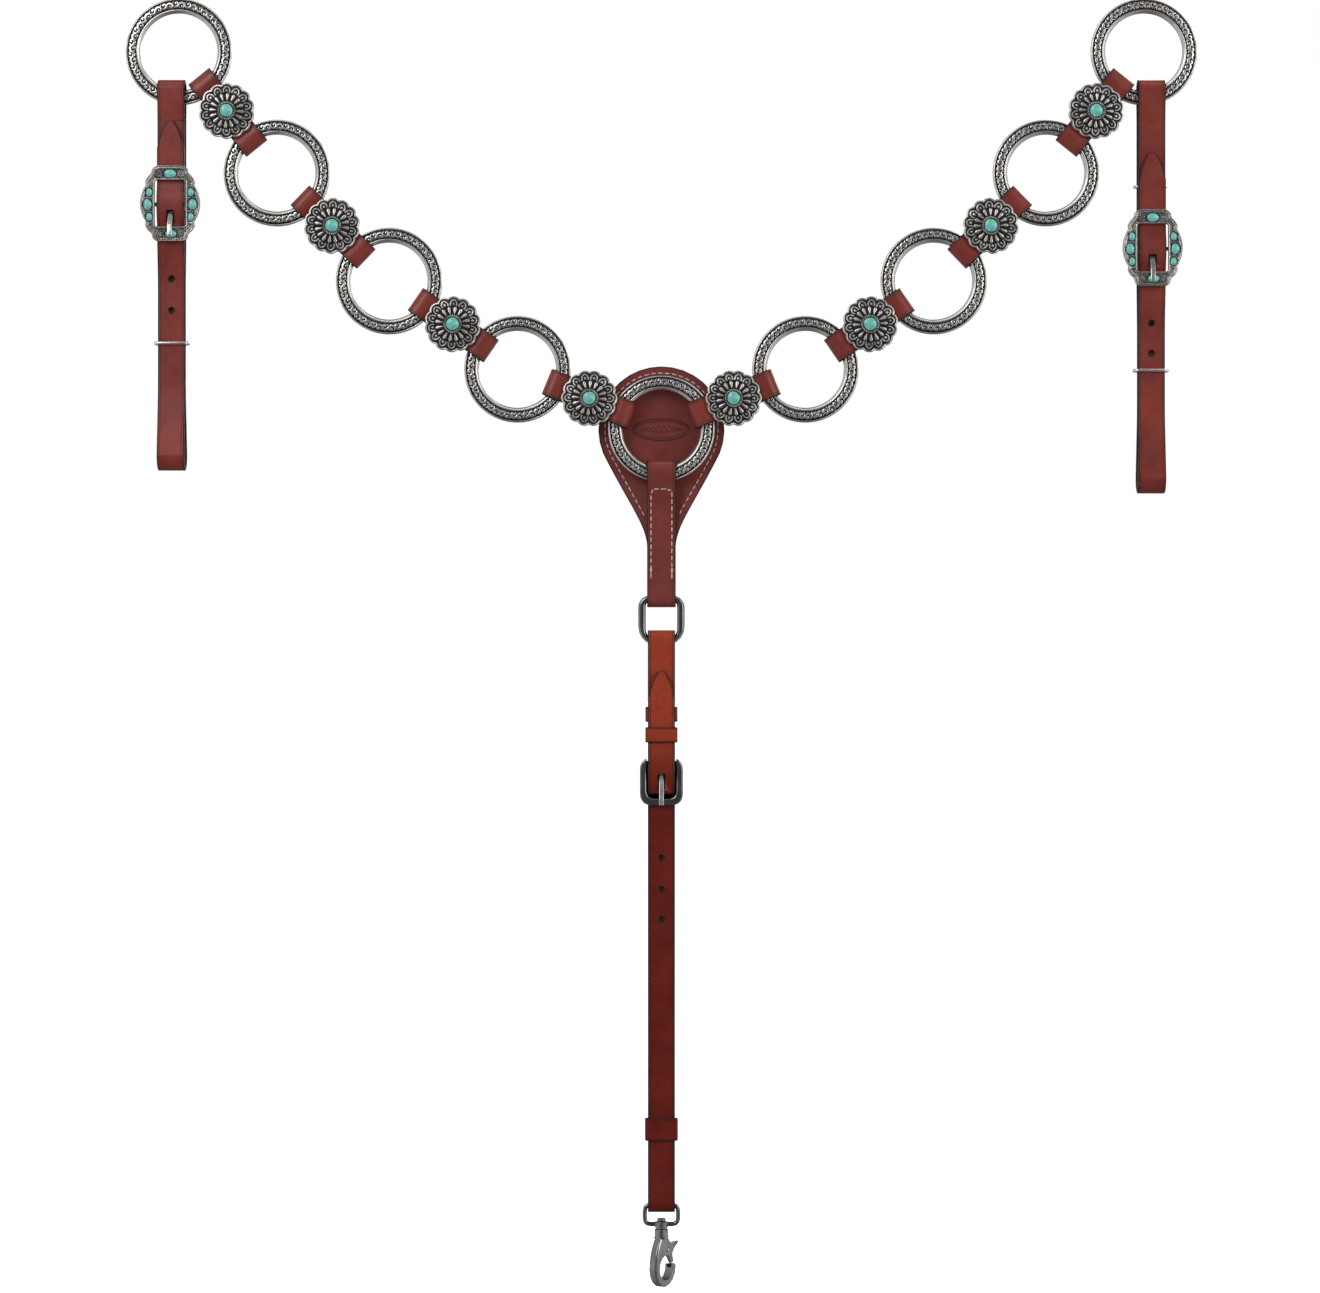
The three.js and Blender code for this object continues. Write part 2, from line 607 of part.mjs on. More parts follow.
function snapEye() {
  const high = EYE_BAR_Z + EYE_WIRE / 2;
  const outline = roundedRectangle(EYE_HALF_WIDE, EYE_LOW, high, 6);
  const [innerHalf, innerLow] = [EYE_HALF_WIDE - EYE_WIRE, EYE_LOW + EYE_WIRE];
  outline.holes.push(roundedRectangle(innerHalf, innerLow, high - EYE_WIRE, 2.5, THREE.Path));
  const loop = pushedPlate(outline, EYE_WIRE, 0.9, 3).translate(0, EYE_WIRE / 2, 0);
  const boss = rod(at(0, 0, -823.6), at(0, 0, -818.6), 4.4, 14);
  const bore = rod(at(0, 0, -826), at(0, 0, -816), 2.1, 12);
  return geometryOf(solid(loop).add(solid(boss)).subtract(solid(bore)));
}

// The hook is drawn in its own plane and turned about the swivel afterwards.
const HOOK_CENTRE = [1.5, -851];
const HOOK_OUTER = 13.6;
const HOOK_INNER = 8.6;
const HOOK_HALF_THICK = 3.4;
const RIVET = [3.4, -838.4];

function snapBody() {
  const [hookX, hookZ] = HOOK_CENTRE;
  const neck = new THREE.Shape();
  neck.moveTo(-4.6, -829.5);
  neck.lineTo(4.6, -829.5);
  neck.bezierCurveTo(6.6, -832, 8.4, -833.4, 8.4, -836.4);
  neck.lineTo(8.2, -843);
  neck.lineTo(hookX - HOOK_INNER, hookZ);
  neck.lineTo(hookX - HOOK_OUTER + 0.6, hookZ);
  neck.bezierCurveTo(-12.2, -840, -7, -833.5, -4.6, -829.5);
  const plate = (shape) => pushedPlate(shape, 2 * HOOK_HALF_THICK, 1.2, 8);
  const thick = (shape) => solid(plate(shape).translate(0, HOOK_HALF_THICK, 0));
  const disc = new THREE.Shape();
  disc.absarc(hookX, hookZ, HOOK_OUTER, 0, Math.PI * 2, false);
  const across = rod(at(hookX, -6, hookZ), at(hookX, 6, hookZ), HOOK_INNER, 24);
  const gate = block(at(hookX, -6, hookZ + 1.4), at(hookX + HOOK_OUTER + 2, 6, hookZ + 9));
  const slot = block(at(-2, -1.7, -852), at(14, 1.7, -832.4));
  const body = thick(disc).subtract(solid(gate)).add(thick(neck));
  const hook = body.subtract(solid(across)).subtract(solid(slot));
  const collar = rod(at(0, 0, -830.5), at(0, 0, -823.9), 4.9, 16);
  const stud = rod(at(0, 0, -825), at(0, 0, -817.9), 1.75, 12);
  const head = rod(at(0, 0, -818.3), at(0, 0, -816.3), 3.1, 14);
  const rivetHole = rod(at(RIVET[0], -6, RIVET[1]), at(RIVET[0], 6, RIVET[1]), 1.4, 10);
  const barrel = solid(collar).add(solid(stud)).add(solid(head));
  return geometryOf(hook.add(barrel).subtract(solid(rivetHole)));
}

function snapTrigger() {
  const lever = new THREE.Shape();
  lever.moveTo(RIVET[0] - 2.6, RIVET[1]);
  lever.quadraticCurveTo(RIVET[0] - 2.2, RIVET[1] + 3.2, RIVET[0] + 1, RIVET[1] + 3);
  lever.quadraticCurveTo(RIVET[0] + 8, RIVET[1] + 4.2, RIVET[0] + 18, RIVET[1] + 3.6);
  lever.quadraticCurveTo(RIVET[0] + 12, RIVET[1] - 0.4, RIVET[0] + 9.4, RIVET[1] - 4);
  lever.lineTo(HOOK_CENTRE[0] + HOOK_OUTER - 0.6, HOOK_CENTRE[1] + 2.4);
  lever.lineTo(HOOK_CENTRE[0] + HOOK_INNER + 1, HOOK_CENTRE[1] + 2);
  lever.quadraticCurveTo(RIVET[0] + 4.6, RIVET[1] - 5, RIVET[0] - 2.6, RIVET[1]);
  const options = { depth: 2.6, bevelEnabled: false, curveSegments: 4 };
  const body = fromFront(new THREE.ExtrudeGeometry(lever, options)).translate(0, 1.3, 0);
  const bore = rod(at(RIVET[0], -4, RIVET[1]), at(RIVET[0], 4, RIVET[1]), 1.45, 10);
  return geometryOf(solid(body).subtract(solid(bore)));
}

const snap = new THREE.Group();
snap.rotation.z = SNAP_TURN;
snap.add(named('snap_body', snapBody(), darkLook()));
snap.add(named('snap_trigger', snapTrigger(), darkLook()));
const rivetReach = HOOK_HALF_THICK + 0.5;
const rivetEnds = [-rivetReach, rivetReach].map((y) => at(RIVET[0], y, RIVET[1]));
snap.add(named('snap_rivet', rod(...rivetEnds, 1.1, 10), silverLook()));
breastplate.add(snap);
breastplate.add(named('snap_eye', snapEye(), darkLook()));

// ---- tugs -----------------------------------------------------------------------------------------
const TUG_BAR_Y = -3.4;
const TUG_BILLET = CHAPE_OUTER - LAYER;
const TUG_TOP = -19.6;
const TUG_OUTBOARD = 5;          // the tugs hang a little outside the end rings' centres

function addTug(side, tug) {
  const label = side > 0 ? 'right' : 'left';
  const group = new THREE.Group();
  group.position.x = side * (ringCentres.at(-1).x + TUG_OUTBOARD);
  const bar = [(tug.low + tug.high) / 2, TUG_BAR_Y];
  group.add(named(`tug_${label}_strap`, geometryOf(loopStrap({
    top: TUG_TOP,
    topHalf: 4.7,
    settle: 22,
    bar,
    tip: tug.tip,
    billet: TUG_BILLET,
    under: [tug.low + 1, -5.6],
    join: tug.low - 26,
    bottom: tug.bottom,
    lowerHalf: 7.5,
    spread: 44,
    width: STRAP_WIDTH,
    holes: tug.holes,
    slot: [4.4, 13.5],
  })), leatherLook()));
  const frame = { halfWide: 21, low: tug.low, high: tug.high, windowHalf: 10.7 };
  const buckle = { ...frame, plate: 2.6, faceY: -11.2, barY: TUG_BAR_Y };
  group.add(named(`tug_${label}_buckle`, ornateBuckle(buckle), silverLook()));
  const tongue = tongueGeometry(bar, [tug.low + 12, -12.6], [tug.low + 3.5, -12.7]);
  group.add(named(`tug_${label}_tongue`, tongue, silverLook()));
  addKeeper(group, `tug_${label}_slide`, tug.slide,
    { halfWide: sideRoom + 0.6, front: -joined, back: joined, band: 2.2, height: 2.4 }, silverLook());
  if (tug.backWire) {
    const reach = LEATHER / 2 + GAP;
    const wire = { halfWide: sideRoom + 0.6, front: BACK_LAYER - reach, back: BACK_LAYER + reach };
    addKeeper(group, `tug_${label}_back_wire`, tug.backWire, { ...wire, band: 1.7, height: 2 }, silverLook());
  }
  breastplate.add(group);
}

addTug(-1, { tip: -49, low: -133.7, high: -80.5, bottom: -293, slide: -204, holes: [-159, -181] });
addTug(1, { tip: -71, low: -165, high: -111, bottom: -309, slide: -223, holes: [-190, -211], backWire: -94 });

export default breastplate;
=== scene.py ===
"""The looks of a western ring breast collar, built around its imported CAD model. Blender 4.5, metres."""
import json
import math
import random

import bmesh
import bpy
import numpy as np
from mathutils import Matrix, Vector
from mathutils.bvhtree import BVHTree


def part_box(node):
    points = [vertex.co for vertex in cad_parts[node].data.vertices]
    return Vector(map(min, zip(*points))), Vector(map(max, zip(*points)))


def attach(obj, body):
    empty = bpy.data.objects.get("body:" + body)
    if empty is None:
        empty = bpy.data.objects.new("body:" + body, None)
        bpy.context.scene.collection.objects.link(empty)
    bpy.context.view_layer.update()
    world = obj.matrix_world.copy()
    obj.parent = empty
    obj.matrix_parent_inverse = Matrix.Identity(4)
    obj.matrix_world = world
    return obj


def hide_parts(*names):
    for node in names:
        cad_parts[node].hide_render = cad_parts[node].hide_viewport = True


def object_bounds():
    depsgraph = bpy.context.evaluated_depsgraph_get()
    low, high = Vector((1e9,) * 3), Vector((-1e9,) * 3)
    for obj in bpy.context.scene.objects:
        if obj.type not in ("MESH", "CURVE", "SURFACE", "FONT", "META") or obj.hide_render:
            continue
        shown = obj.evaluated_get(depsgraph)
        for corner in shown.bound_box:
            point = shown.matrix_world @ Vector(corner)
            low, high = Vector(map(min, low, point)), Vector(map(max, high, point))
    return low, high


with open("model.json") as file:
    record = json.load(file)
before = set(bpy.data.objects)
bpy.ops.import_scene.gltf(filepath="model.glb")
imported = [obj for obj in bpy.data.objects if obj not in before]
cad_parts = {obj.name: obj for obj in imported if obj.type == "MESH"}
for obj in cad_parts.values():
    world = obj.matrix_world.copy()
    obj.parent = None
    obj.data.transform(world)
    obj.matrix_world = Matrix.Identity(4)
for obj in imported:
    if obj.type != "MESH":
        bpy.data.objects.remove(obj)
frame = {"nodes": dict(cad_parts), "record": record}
cad_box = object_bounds()

MM = 0.001
TAU = 2 * math.pi
SIDES = ("left", "right")
BODY_OF = {n: b for b, nodes in frame["record"]["behaviour"]["bodies"].items() for n in nodes}
random.seed(7)


# ---- places read from the frame --------------------------------------------------------------
def middle(node):
    low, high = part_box(node)
    return (low + high) / 2


def half_size(node):
    low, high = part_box(node)
    return (high - low) / 2


RING_MIDDLE = middle("ring_centre")
SHIELD_RADIUS = half_size("shield_front").x
NECK_HALF = half_size("drop_strap").x
DEE_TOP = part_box("dee_loop")[1].z


# ---- mesh helpers ----------------------------------------------------------------------------
def linked_object(name, data):
    """A new object in the scene."""
    made = bpy.data.objects.new(name, data)
    bpy.context.scene.collection.objects.link(made)
    return made


def add_floats(mesh, key, values):
    """Gives each point of a mesh its value of a float attribute."""
    attribute = mesh.attributes.new(key, "FLOAT", "POINT")
    attribute.data.foreach_set("value", np.asarray(values, np.float32))


def mesh_object(name, points, faces, patina_and_shade=None):
    """A smooth mesh object from points in metres; the blackening value is 1 where antiqued metal is
    blackened and part-way where shade is painted on.
    """
    mesh = bpy.data.meshes.new(name)
    mesh.from_pydata([tuple(p) for p in points], [], [tuple(int(i) for i in f) for f in faces])
    if patina_and_shade is not None:
        add_floats(mesh, "patina_and_shade", patina_and_shade)
    mesh.shade_smooth()
    mesh.update()
    return linked_object(name, mesh)


def grid_faces(rows, columns, wrap_rows=False, first=0):
    """Quads over a grid of points numbered row by row. Each row closes on itself."""
    faces = []
    for i in range(rows if wrap_rows else rows - 1):
        for j in range(columns):
            a, b = i * columns, ((i + 1) % rows) * columns
            k = (j + 1) % columns
            faces.append((first + a + j, first + a + k, first + b + k, first + b + j))
    return faces


def end_caps(rows, columns):
    """The faces that close the first and the last row of a grid of points."""
    last = (rows - 1) * columns
    return [tuple(range(columns)), tuple(last + k for k in range(columns))]


class RoundRows:
    """Rows of points round the Y axis, given in mm. Each point has a blackening value too, which also
    carries painted shade.
    """

    def __init__(self, columns):
        self.columns = columns
        self.angles = TAU * np.arange(columns) / columns
        self.points, self.patina_and_shade = [], []

    def add(self, radius, depth, dark):
        radius, depth, dark = (np.broadcast_to(v, self.columns) for v in (radius, depth, dark))
        across, up = radius * np.sin(self.angles), radius * np.cos(self.angles)
        self.points.append(np.stack([across, depth, up], 1) * MM)
        self.patina_and_shade.append(dark)

    def piece(self, name, closed):
        """The rows as an object: the last row joins the first, or else both ends are capped."""
        rows = len(self.points)
        faces = grid_faces(rows, self.columns, wrap_rows=closed)
        if not closed:
            faces += end_caps(rows, self.columns)
        patina_and_shade = np.concatenate(self.patina_and_shade)
        return face_outwards(mesh_object(name, np.concatenate(self.points), faces, patina_and_shade))


def face_outwards(piece):
    """Turns every face of a closed piece outwards and merges points that coincide."""
    bm = bmesh.new()
    bm.from_mesh(piece.data)
    bmesh.ops.remove_doubles(bm, verts=bm.verts, dist=1e-7)
    bmesh.ops.recalc_face_normals(bm, faces=bm.faces)
    bm.to_mesh(piece.data)
    bm.free()
    piece.data.shade_smooth()
    return piece


def finish_piece(piece, body, materials, nodes=()):
    """Gives a piece its materials, its body and the CAD nodes it stands for."""
    for material in materials:
        piece.data.materials.append(material)
    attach(piece, body)
    if nodes:
        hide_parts(*nodes)
    return piece


def tube_mesh(path, radii, sides=10, closed=False, flat=1.0, first=0):
    """Points and quads of a tube along a path. `flat` squeezes it along Y."""
    path = [Vector(p) for p in path]
    count = len(path)
    points = []
    previous = None
    for i, centre in enumerate(path):
        before = path[(i - 1) % count] if closed or i else path[i]
        after = path[(i + 1) % count] if closed or i < count - 1 else path[i]
        along = (after - before).normalized()
        seed = previous if previous is not None else Vector((0, 1, 0))
        if abs(seed.dot(along)) > 0.97:
            seed = Vector((1, 0, 0))
        normal = (seed - along * seed.dot(along)).normalized()
        previous = normal
        other = along.cross(normal)
        radius = radii[i] if hasattr(radii, "__len__") else radii
        for k in range(sides):
            angle = TAU * k / sides
            offset = normal * (radius * math.cos(angle)) + other * (radius * math.sin(angle))
            offset.y *= flat
            points.append(centre + offset)
    faces = grid_faces(count, sides, wrap_rows=closed, first=first)
    if not closed:
        faces.append(tuple(first + k for k in reversed(range(sides))))
        faces.append(tuple(first + (count - 1) * sides + k for k in range(sides)))
    return points, faces


def joined_tubes(name, tubes):
    """One object from several tubes, each given as the arguments of tube_mesh."""
    points, faces = [], []
    for options in tubes:
        more_points, more_faces = tube_mesh(first=len(points), **options)
        points += more_points
        faces += more_faces
    return face_outwards(mesh_object(name, points, faces))


def smoothstep(low, high, value):
    t = np.clip((value - low) / (high - low), 0, 1)
    return t * t * (3 - 2 * t)


def ridge(distance, half_width):
    """A rounded ridge or bead: 1 at distance 0, falling to 0 at half_width."""
    return np.sqrt(np.clip(1 - (distance / half_width) ** 2, 0, 1))


# ---- materials -------------------------------------------------------------------------------
class Shader:
    """A short way to write a node material."""

    def __init__(self, name):
        self.material = bpy.data.materials.new(name)
        self.material.use_nodes = True
        self.tree = self.material.node_tree
        self.surface = self.tree.nodes["Principled BSDF"]

    def node(self, kind, **settings):
        made = self.tree.nodes.new("ShaderNode" + kind)
        for key, value in settings.items():
            setattr(made, key, value)
        return made

    def set(self, socket, value):
        if isinstance(value, bpy.types.NodeSocket):
            self.tree.links.new(value, socket)
        else:
            socket.default_value = value

    def place(self):
        return self.node("TexCoord").outputs["Object"]

    def noise(self, scale, detail=4.0, roughness=0.55, vector=None):
        made = self.node("TexNoise")
        self.set(made.inputs["Vector"], vector or self.place())
        made.inputs["Scale"].default_value = scale
        made.inputs["Detail"].default_value = detail
        made.inputs["Roughness"].default_value = roughness
        return made.outputs["Fac"]

    def cells(self, scale, feature="F1", vector=None):
        made = self.node("TexVoronoi", feature=feature)
        self.set(made.inputs["Vector"], vector or self.place())
        made.inputs["Scale"].default_value = scale
        return made.outputs["Distance"]

    def attribute(self, name):
        return self.node("Attribute", attribute_name=name).outputs["Fac"]

    def math(self, operation, a, b=0.0):
        made = self.node("Math", operation=operation)
        self.set(made.inputs[0], a)
        self.set(made.inputs[1], b)
        return made.outputs[0]

    def spread(self, value, low, high, to_low=0.0, to_high=1.0, smooth=False):
        made = self.node("MapRange", interpolation_type="SMOOTHSTEP" if smooth else "LINEAR")
        for socket, number in zip(made.inputs, (value, low, high, to_low, to_high)):
            self.set(socket, number)
        return made.outputs["Result"]

    def mix(self, factor, a, b):
        made = self.node("Mix", data_type="RGBA")
        self.set(made.inputs["Factor"], factor)
        self.set(made.inputs["A"], (*a, 1) if isinstance(a, tuple) else a)
        self.set(made.inputs["B"], (*b, 1) if isinstance(b, tuple) else b)
        return made.outputs["Result"]

    def bump(self, height, distance, strength=1.0, normal=None):
        made = self.node("Bump")
        self.set(made.inputs["Height"], height)
        made.inputs["Distance"].default_value = distance
        made.inputs["Strength"].default_value = strength
        if normal:
            self.set(made.inputs["Normal"], normal)
        return made.outputs["Normal"]

    def apply(self, **sockets):
        for key, value in sockets.items():
            self.set(self.surface.inputs[key.replace("_", " ")], value)
        return self.material


LIT_TOP_FROM, LIT_TOP_TO = -0.53, -0.455      # heights in metres between which the painted highlight on the tie-down's top fades in


def leather_material(name, dark, light, lit_top_colour=None, coat=0.16, specular=0.4):
    """Dressed bridle leather: mottled dye, pores, a creased line inside each edge and a waxed coat; a top
    colour, if given, is a painted highlight on the upper part.
    """
    s = Shader(name)
    mottle = s.spread(s.noise(38, 5, 0.6), 0.3, 0.7)
    colour = s.mix(mottle, dark, light)
    # painted highlight: above these heights the leather is painted paler, as if lit from above
    if lit_top_colour:
        height = s.node("SeparateXYZ")
        s.set(height.inputs[0], s.place())
        lit_top_share = s.spread(height.outputs["Z"], LIT_TOP_FROM, LIT_TOP_TO, smooth=True)
        colour = s.mix(lit_top_share, colour, lit_top_colour)
    streak = s.spread(s.noise(210, 3, 0.7), 0.52, 0.75, 0, 0.35)
    colour = s.mix(streak, colour, tuple(c * 0.45 for c in dark))
    across = s.math("ABSOLUTE", s.attribute("across"))
    near_crease = s.math("ABSOLUTE", s.math("SUBTRACT", across, 0.80))
    crease = s.spread(near_crease, 0.012, 0.038, 1, 0, smooth=True)
    colour = s.mix(s.math("MULTIPLY", crease, 0.6), colour, tuple(c * 0.3 for c in dark))
    pores = s.cells(1500)
    grain = s.bump(pores, 0.00006, 0.45)
    grain = s.bump(s.noise(120, 4), 0.00035, 0.35, grain)
    grain = s.bump(s.math("MULTIPLY", crease, -1.0), 0.00035, 1.0, grain)
    rough = s.spread(s.noise(90, 4), 0.3, 0.7, 0.33, 0.52)
    return s.apply(Base_Color=colour, Roughness=rough, Normal=grain, Coat_Weight=coat, Coat_Roughness=0.28,
                   Specular_IOR_Level=specular)


def edge_material():
    """The black painted and burnished edge of a strap."""
    s = Shader("painted edge")
    colour = s.mix(s.spread(s.noise(400, 3), 0.4, 0.75), (0.012, 0.009, 0.008), (0.045, 0.024, 0.018))
    normal = s.bump(s.noise(900, 3), 0.00008, 0.4)
    rough = s.spread(s.noise(160), 0.3, 0.7, 0.5, 0.68)
    return s.apply(Base_Color=colour, Roughness=rough, Normal=normal, Specular_IOR_Level=0.25)


def flesh_material():
    """The undressed flesh side: brown, matt and napped."""
    s = Shader("flesh side")
    colour = s.mix(s.spread(s.noise(70, 6, 0.7), 0.3, 0.7), (0.11, 0.035, 0.02), (0.24, 0.085, 0.045))
    nap = s.bump(s.noise(1400, 5, 0.8), 0.00012, 0.7)
    nap = s.bump(s.noise(240, 5, 0.7), 0.0003, 0.5, nap)
    return s.apply(Base_Color=colour, Roughness=0.86, Normal=nap, Sheen_Weight=0.15, Sheen_Roughness=0.5)


def silver_material(name, bright, recess, rough):
    """Antiqued cast silver: polished where it stands proud, blackened where the blackening attribute is 1;
    part of that blackening is painted shade.
    """
    s = Shader(name)
    worn = s.spread(s.noise(180, 3, 0.6), 0.35, 0.7, -0.1, 0.12)
    patina_and_shade = s.math("ADD", s.attribute("patina_and_shade"), worn)
    black = s.spread(patina_and_shade, 0.25, 0.75, smooth=True)
    tint = s.mix(s.spread(s.noise(60, 3), 0.3, 0.7), bright, tuple(c * 0.78 for c in bright))
    colour = s.mix(black, tint, recess)
    shine = s.spread(s.noise(500, 4), 0.3, 0.7, rough, rough + 0.14)
    mixed = s.math("ADD", shine, s.math("MULTIPLY", black, 0.35))
    pits = s.bump(s.noise(700, 3, 0.6), 0.00004, 0.3)
    return s.apply(Base_Color=colour, Metallic=s.spread(black, 0, 1, 1, 0.55), Roughness=mixed, Normal=pits)


def plated_material(name, colour, rough):
    """Smooth plated metal with fine polishing lines and a few worn patches."""
    s = Shader(name)
    stretched = s.node("Mapping")
    s.set(stretched.inputs["Vector"], s.place())
    stretched.inputs["Scale"].default_value = (1, 1, 6)
    lines = s.noise(420, 3, 0.6, stretched.outputs[0])
    tint = s.mix(s.spread(s.noise(90, 4), 0.35, 0.7), colour, tuple(min(1, c * 1.45) for c in colour))
    shine = s.spread(s.noise(160, 4), 0.3, 0.7, rough, rough + 0.12)
    return s.apply(Base_Color=tint, Metallic=1.0, Roughness=shine, Normal=s.bump(lines, 0.00004, 0.4))


def stone_material():
    """Turquoise-coloured stone with pale clouds and thin dark veins."""
    s = Shader("turquoise stone")
    clouds = s.spread(s.noise(420, 5, 0.6), 0.32, 0.68)
    colour = s.mix(clouds, (0.10, 0.46, 0.42), (0.27, 0.72, 0.64))
    warped = s.node("VectorMath", operation="ADD")
    s.set(warped.inputs[0], s.place())
    wobble = s.node("VectorMath", operation="SCALE")
    noise = s.node("TexNoise")
    s.set(noise.inputs["Vector"], s.place())
    noise.inputs["Scale"].default_value = 300
    s.set(wobble.inputs[0], noise.outputs["Color"])
    wobble.inputs["Scale"].default_value = 0.0016
    s.set(warped.inputs[1], wobble.outputs[0])
    veins = s.cells(420, "DISTANCE_TO_EDGE", warped.outputs[0])
    vein = s.spread(veins, 0.01, 0.05, 0.42, 0)
    colour = s.mix(vein, colour, (0.05, 0.14, 0.12))
    normal = s.bump(s.noise(700, 3), 0.00005, 0.4)
    return s.apply(Base_Color=colour, Roughness=0.3, Normal=normal, Coat_Weight=0.35, Coat_Roughness=0.12)


def thread_material():
    """Off-white waxed thread."""
    s = Shader("waxed thread")
    twist = s.node("TexWave", bands_direction="DIAGONAL")
    s.set(twist.inputs["Vector"], s.place())
    twist.inputs["Scale"].default_value = 900
    colour = s.mix(s.spread(s.noise(500, 3), 0.35, 0.7), (0.72, 0.64, 0.55), (0.45, 0.34, 0.27))
    return s.apply(Base_Color=colour, Roughness=0.7, Normal=s.bump(twist.outputs["Fac"], 0.0001, 0.6))


CHESTNUT = leather_material("chestnut leather", (0.17, 0.019, 0.012), (0.27, 0.033, 0.019))
# The tie-down's upper part gets a painted highlight: a paler colour where light falls on its top.
TIE_CHESTNUT = leather_material(
    "tie-down leather", (0.115, 0.008, 0.004), (0.175, 0.014, 0.007), lit_top_colour=(0.36, 0.045, 0.018),
    coat=0.06, specular=0.22)
SHIELD_CHESTNUT = leather_material("shield leather", (0.155, 0.022, 0.018), (0.225, 0.034, 0.028))
# Dark leather for the embossed lines: a painted shade that makes the raised lines read as pressed ones.
PRESSED_SHADE = leather_material("pressed leather, painted shade", (0.05, 0.008, 0.006), (0.09, 0.014, 0.010))
EDGE = edge_material()
FLESH = flesh_material()
RING_SILVER = silver_material("antiqued ring silver", (0.74, 0.72, 0.69), (0.012, 0.010, 0.010), 0.2)
CONCHO_SILVER = silver_material("antiqued concho silver", (0.62, 0.60, 0.57), (0.012, 0.010, 0.010), 0.27)
POLISHED = plated_material("polished nickel", (0.66, 0.64, 0.61), 0.16)
NICKEL = plated_material("satin nickel", (0.50, 0.49, 0.47), 0.28)
PLATE_SILVER = silver_material("antiqued plate silver", (0.44, 0.42, 0.40), (0.012, 0.010, 0.010), 0.25)
DARK_NICKEL = plated_material("black nickel", (0.2, 0.2, 0.205), 0.075)
STONE = stone_material()
THREAD = thread_material()


# ---- leather pieces: the CAD strap with rounded, painted edges and a flesh side ---------------
FLAT = math.radians(0.15)          # faces that turn less than this are one flat face
SHARP = math.radians(44)           # leather edges that turn more are rounded and painted
ACUTE = math.radians(125)          # where a folded layer runs out into the next one
DYED, PAINTED, ROUGH_SIDE = 0, 1, 2        # material slots of a leather piece
HOLE_REACH = 2.3 * MM              # buckle holes lie this near to the strap's middle line
HOLE_WALL = 8e-6                   # a wall of a hole is smaller than this, in square metres
LOOK_UP = 40 * MM                  # how far off another layer may lie


def clean_copy(node):
    """A copy of a CAD node's mesh with its flat faces joined up again, as a bmesh."""
    bm = bmesh.new()
    bm.from_mesh(frame["nodes"][node].data)
    bmesh.ops.remove_doubles(bm, verts=bm.verts, dist=2e-6)
    bmesh.ops.dissolve_limit(bm, angle_limit=FLAT, verts=bm.verts, edges=bm.edges)
    bmesh.ops.recalc_face_normals(bm, faces=bm.faces)
    for face in bm.faces:
        face.material_index = 0
    return bm


def mark_sharp_edges(bm, sharp):
    """Weights the edges to be rounded, and none that touches a corner too acute for it."""
    weight = bm.edges.layers.float.new("bevel_weight_edge")
    acute = {v for edge in bm.edges if edge.calc_face_angle(0) > ACUTE for v in edge.verts}
    for edge in bm.edges:
        rounded = edge.calc_face_angle(0) > sharp and not acute.intersection(edge.verts)
        edge[weight] = 1.0 if rounded else 0.0


def bevelled(name, bm, width, edge_slot, materials, sharp=SHARP):
    """The bmesh as an object with its sharp edges rounded; the rounds take material edge_slot."""
    mark_sharp_edges(bm, sharp)
    mesh = bpy.data.meshes.new(name)
    bm.to_mesh(mesh)
    bm.free()
    mesh.shade_smooth()
    for material in materials:
        mesh.materials.append(material)
    piece = linked_object(name, mesh)
    rounding = piece.modifiers.new("round", "BEVEL")
    rounding.width = width
    rounding.segments = 3
    rounding.limit_method = "WEIGHT"
    rounding.material = edge_slot
    rounding.miter_outer = "MITER_ARC"
    rounding.use_clamp_overlap = False
    evened = piece.modifiers.new("even shading", "WEIGHTED_NORMAL")
    evened.keep_sharp = True
    bpy.context.view_layer.update()
    rounded = piece.evaluated_get(bpy.context.evaluated_depsgraph_get())
    shaped = bpy.data.meshes.new_from_object(rounded)
    piece.modifiers.clear()
    piece.data = shaped
    shaped.name = name
    return piece


def add_across(piece, centre, width_axis, half):
    """Each point's place across the strap: -1 at one edge, 1 at the other."""
    values = [(vertex.co - centre).dot(width_axis) / half for vertex in piece.data.vertices]
    add_floats(piece.data, "across", values)


def paint_borders(bm, skin, wide):
    """Insets the leather's skin and paints the strip beside each sharp edge.

    The inset isn't evened out, because an even one throws spikes at acute corners.
    """
    strip = bmesh.ops.inset_region(
        bm, faces=skin, thickness=wide, use_boundary=True, use_even_offset=False)
    bm.normal_update()
    for part in strip["faces"]:
        if any(edge.calc_face_angle(0) > SHARP for edge in part.edges):
            part.material_index = PAINTED


def leather_piece(node, width_axis, face, round_by=0.45 * MM, painted=0.85 * MM):
    """Rebuilds a CAD strap: painted edges, flesh side where a layer faces another layer."""
    width_axis = Vector(width_axis).normalized()
    bm = clean_copy(node)
    centre = middle(node)
    half = max(abs((v.co - centre).dot(width_axis)) for v in bm.verts)
    tree = BVHTree.FromBMesh(bm)
    skin = []
    for part in bm.faces:
        at_face = part.calc_center_median()
        sideways = abs(part.normal.dot(width_axis)) > 0.3
        small = part.calc_area() < HOLE_WALL and abs(part.normal.y) < 0.5
        in_hole = small and abs((at_face - centre).dot(width_axis)) < HOLE_REACH
        if sideways or in_hole:
            part.material_index = PAINTED
            continue
        skin.append(part)
        hit = tree.ray_cast(at_face + part.normal * 0.05 * MM, part.normal, LOOK_UP)[0]
        inward = part.normal.y * (at_face.y - centre.y) <= 0 or abs(part.normal.y) < 0.3
        part.material_index = ROUGH_SIDE if hit and inward else DYED
    paint_borders(bm, skin, painted)
    piece = bevelled(node + "_leather", bm, round_by, PAINTED, (face, EDGE, FLESH))
    add_across(piece, centre, width_axis, half)
    return finish_piece(piece, BODY_OF[node], (), (node,))


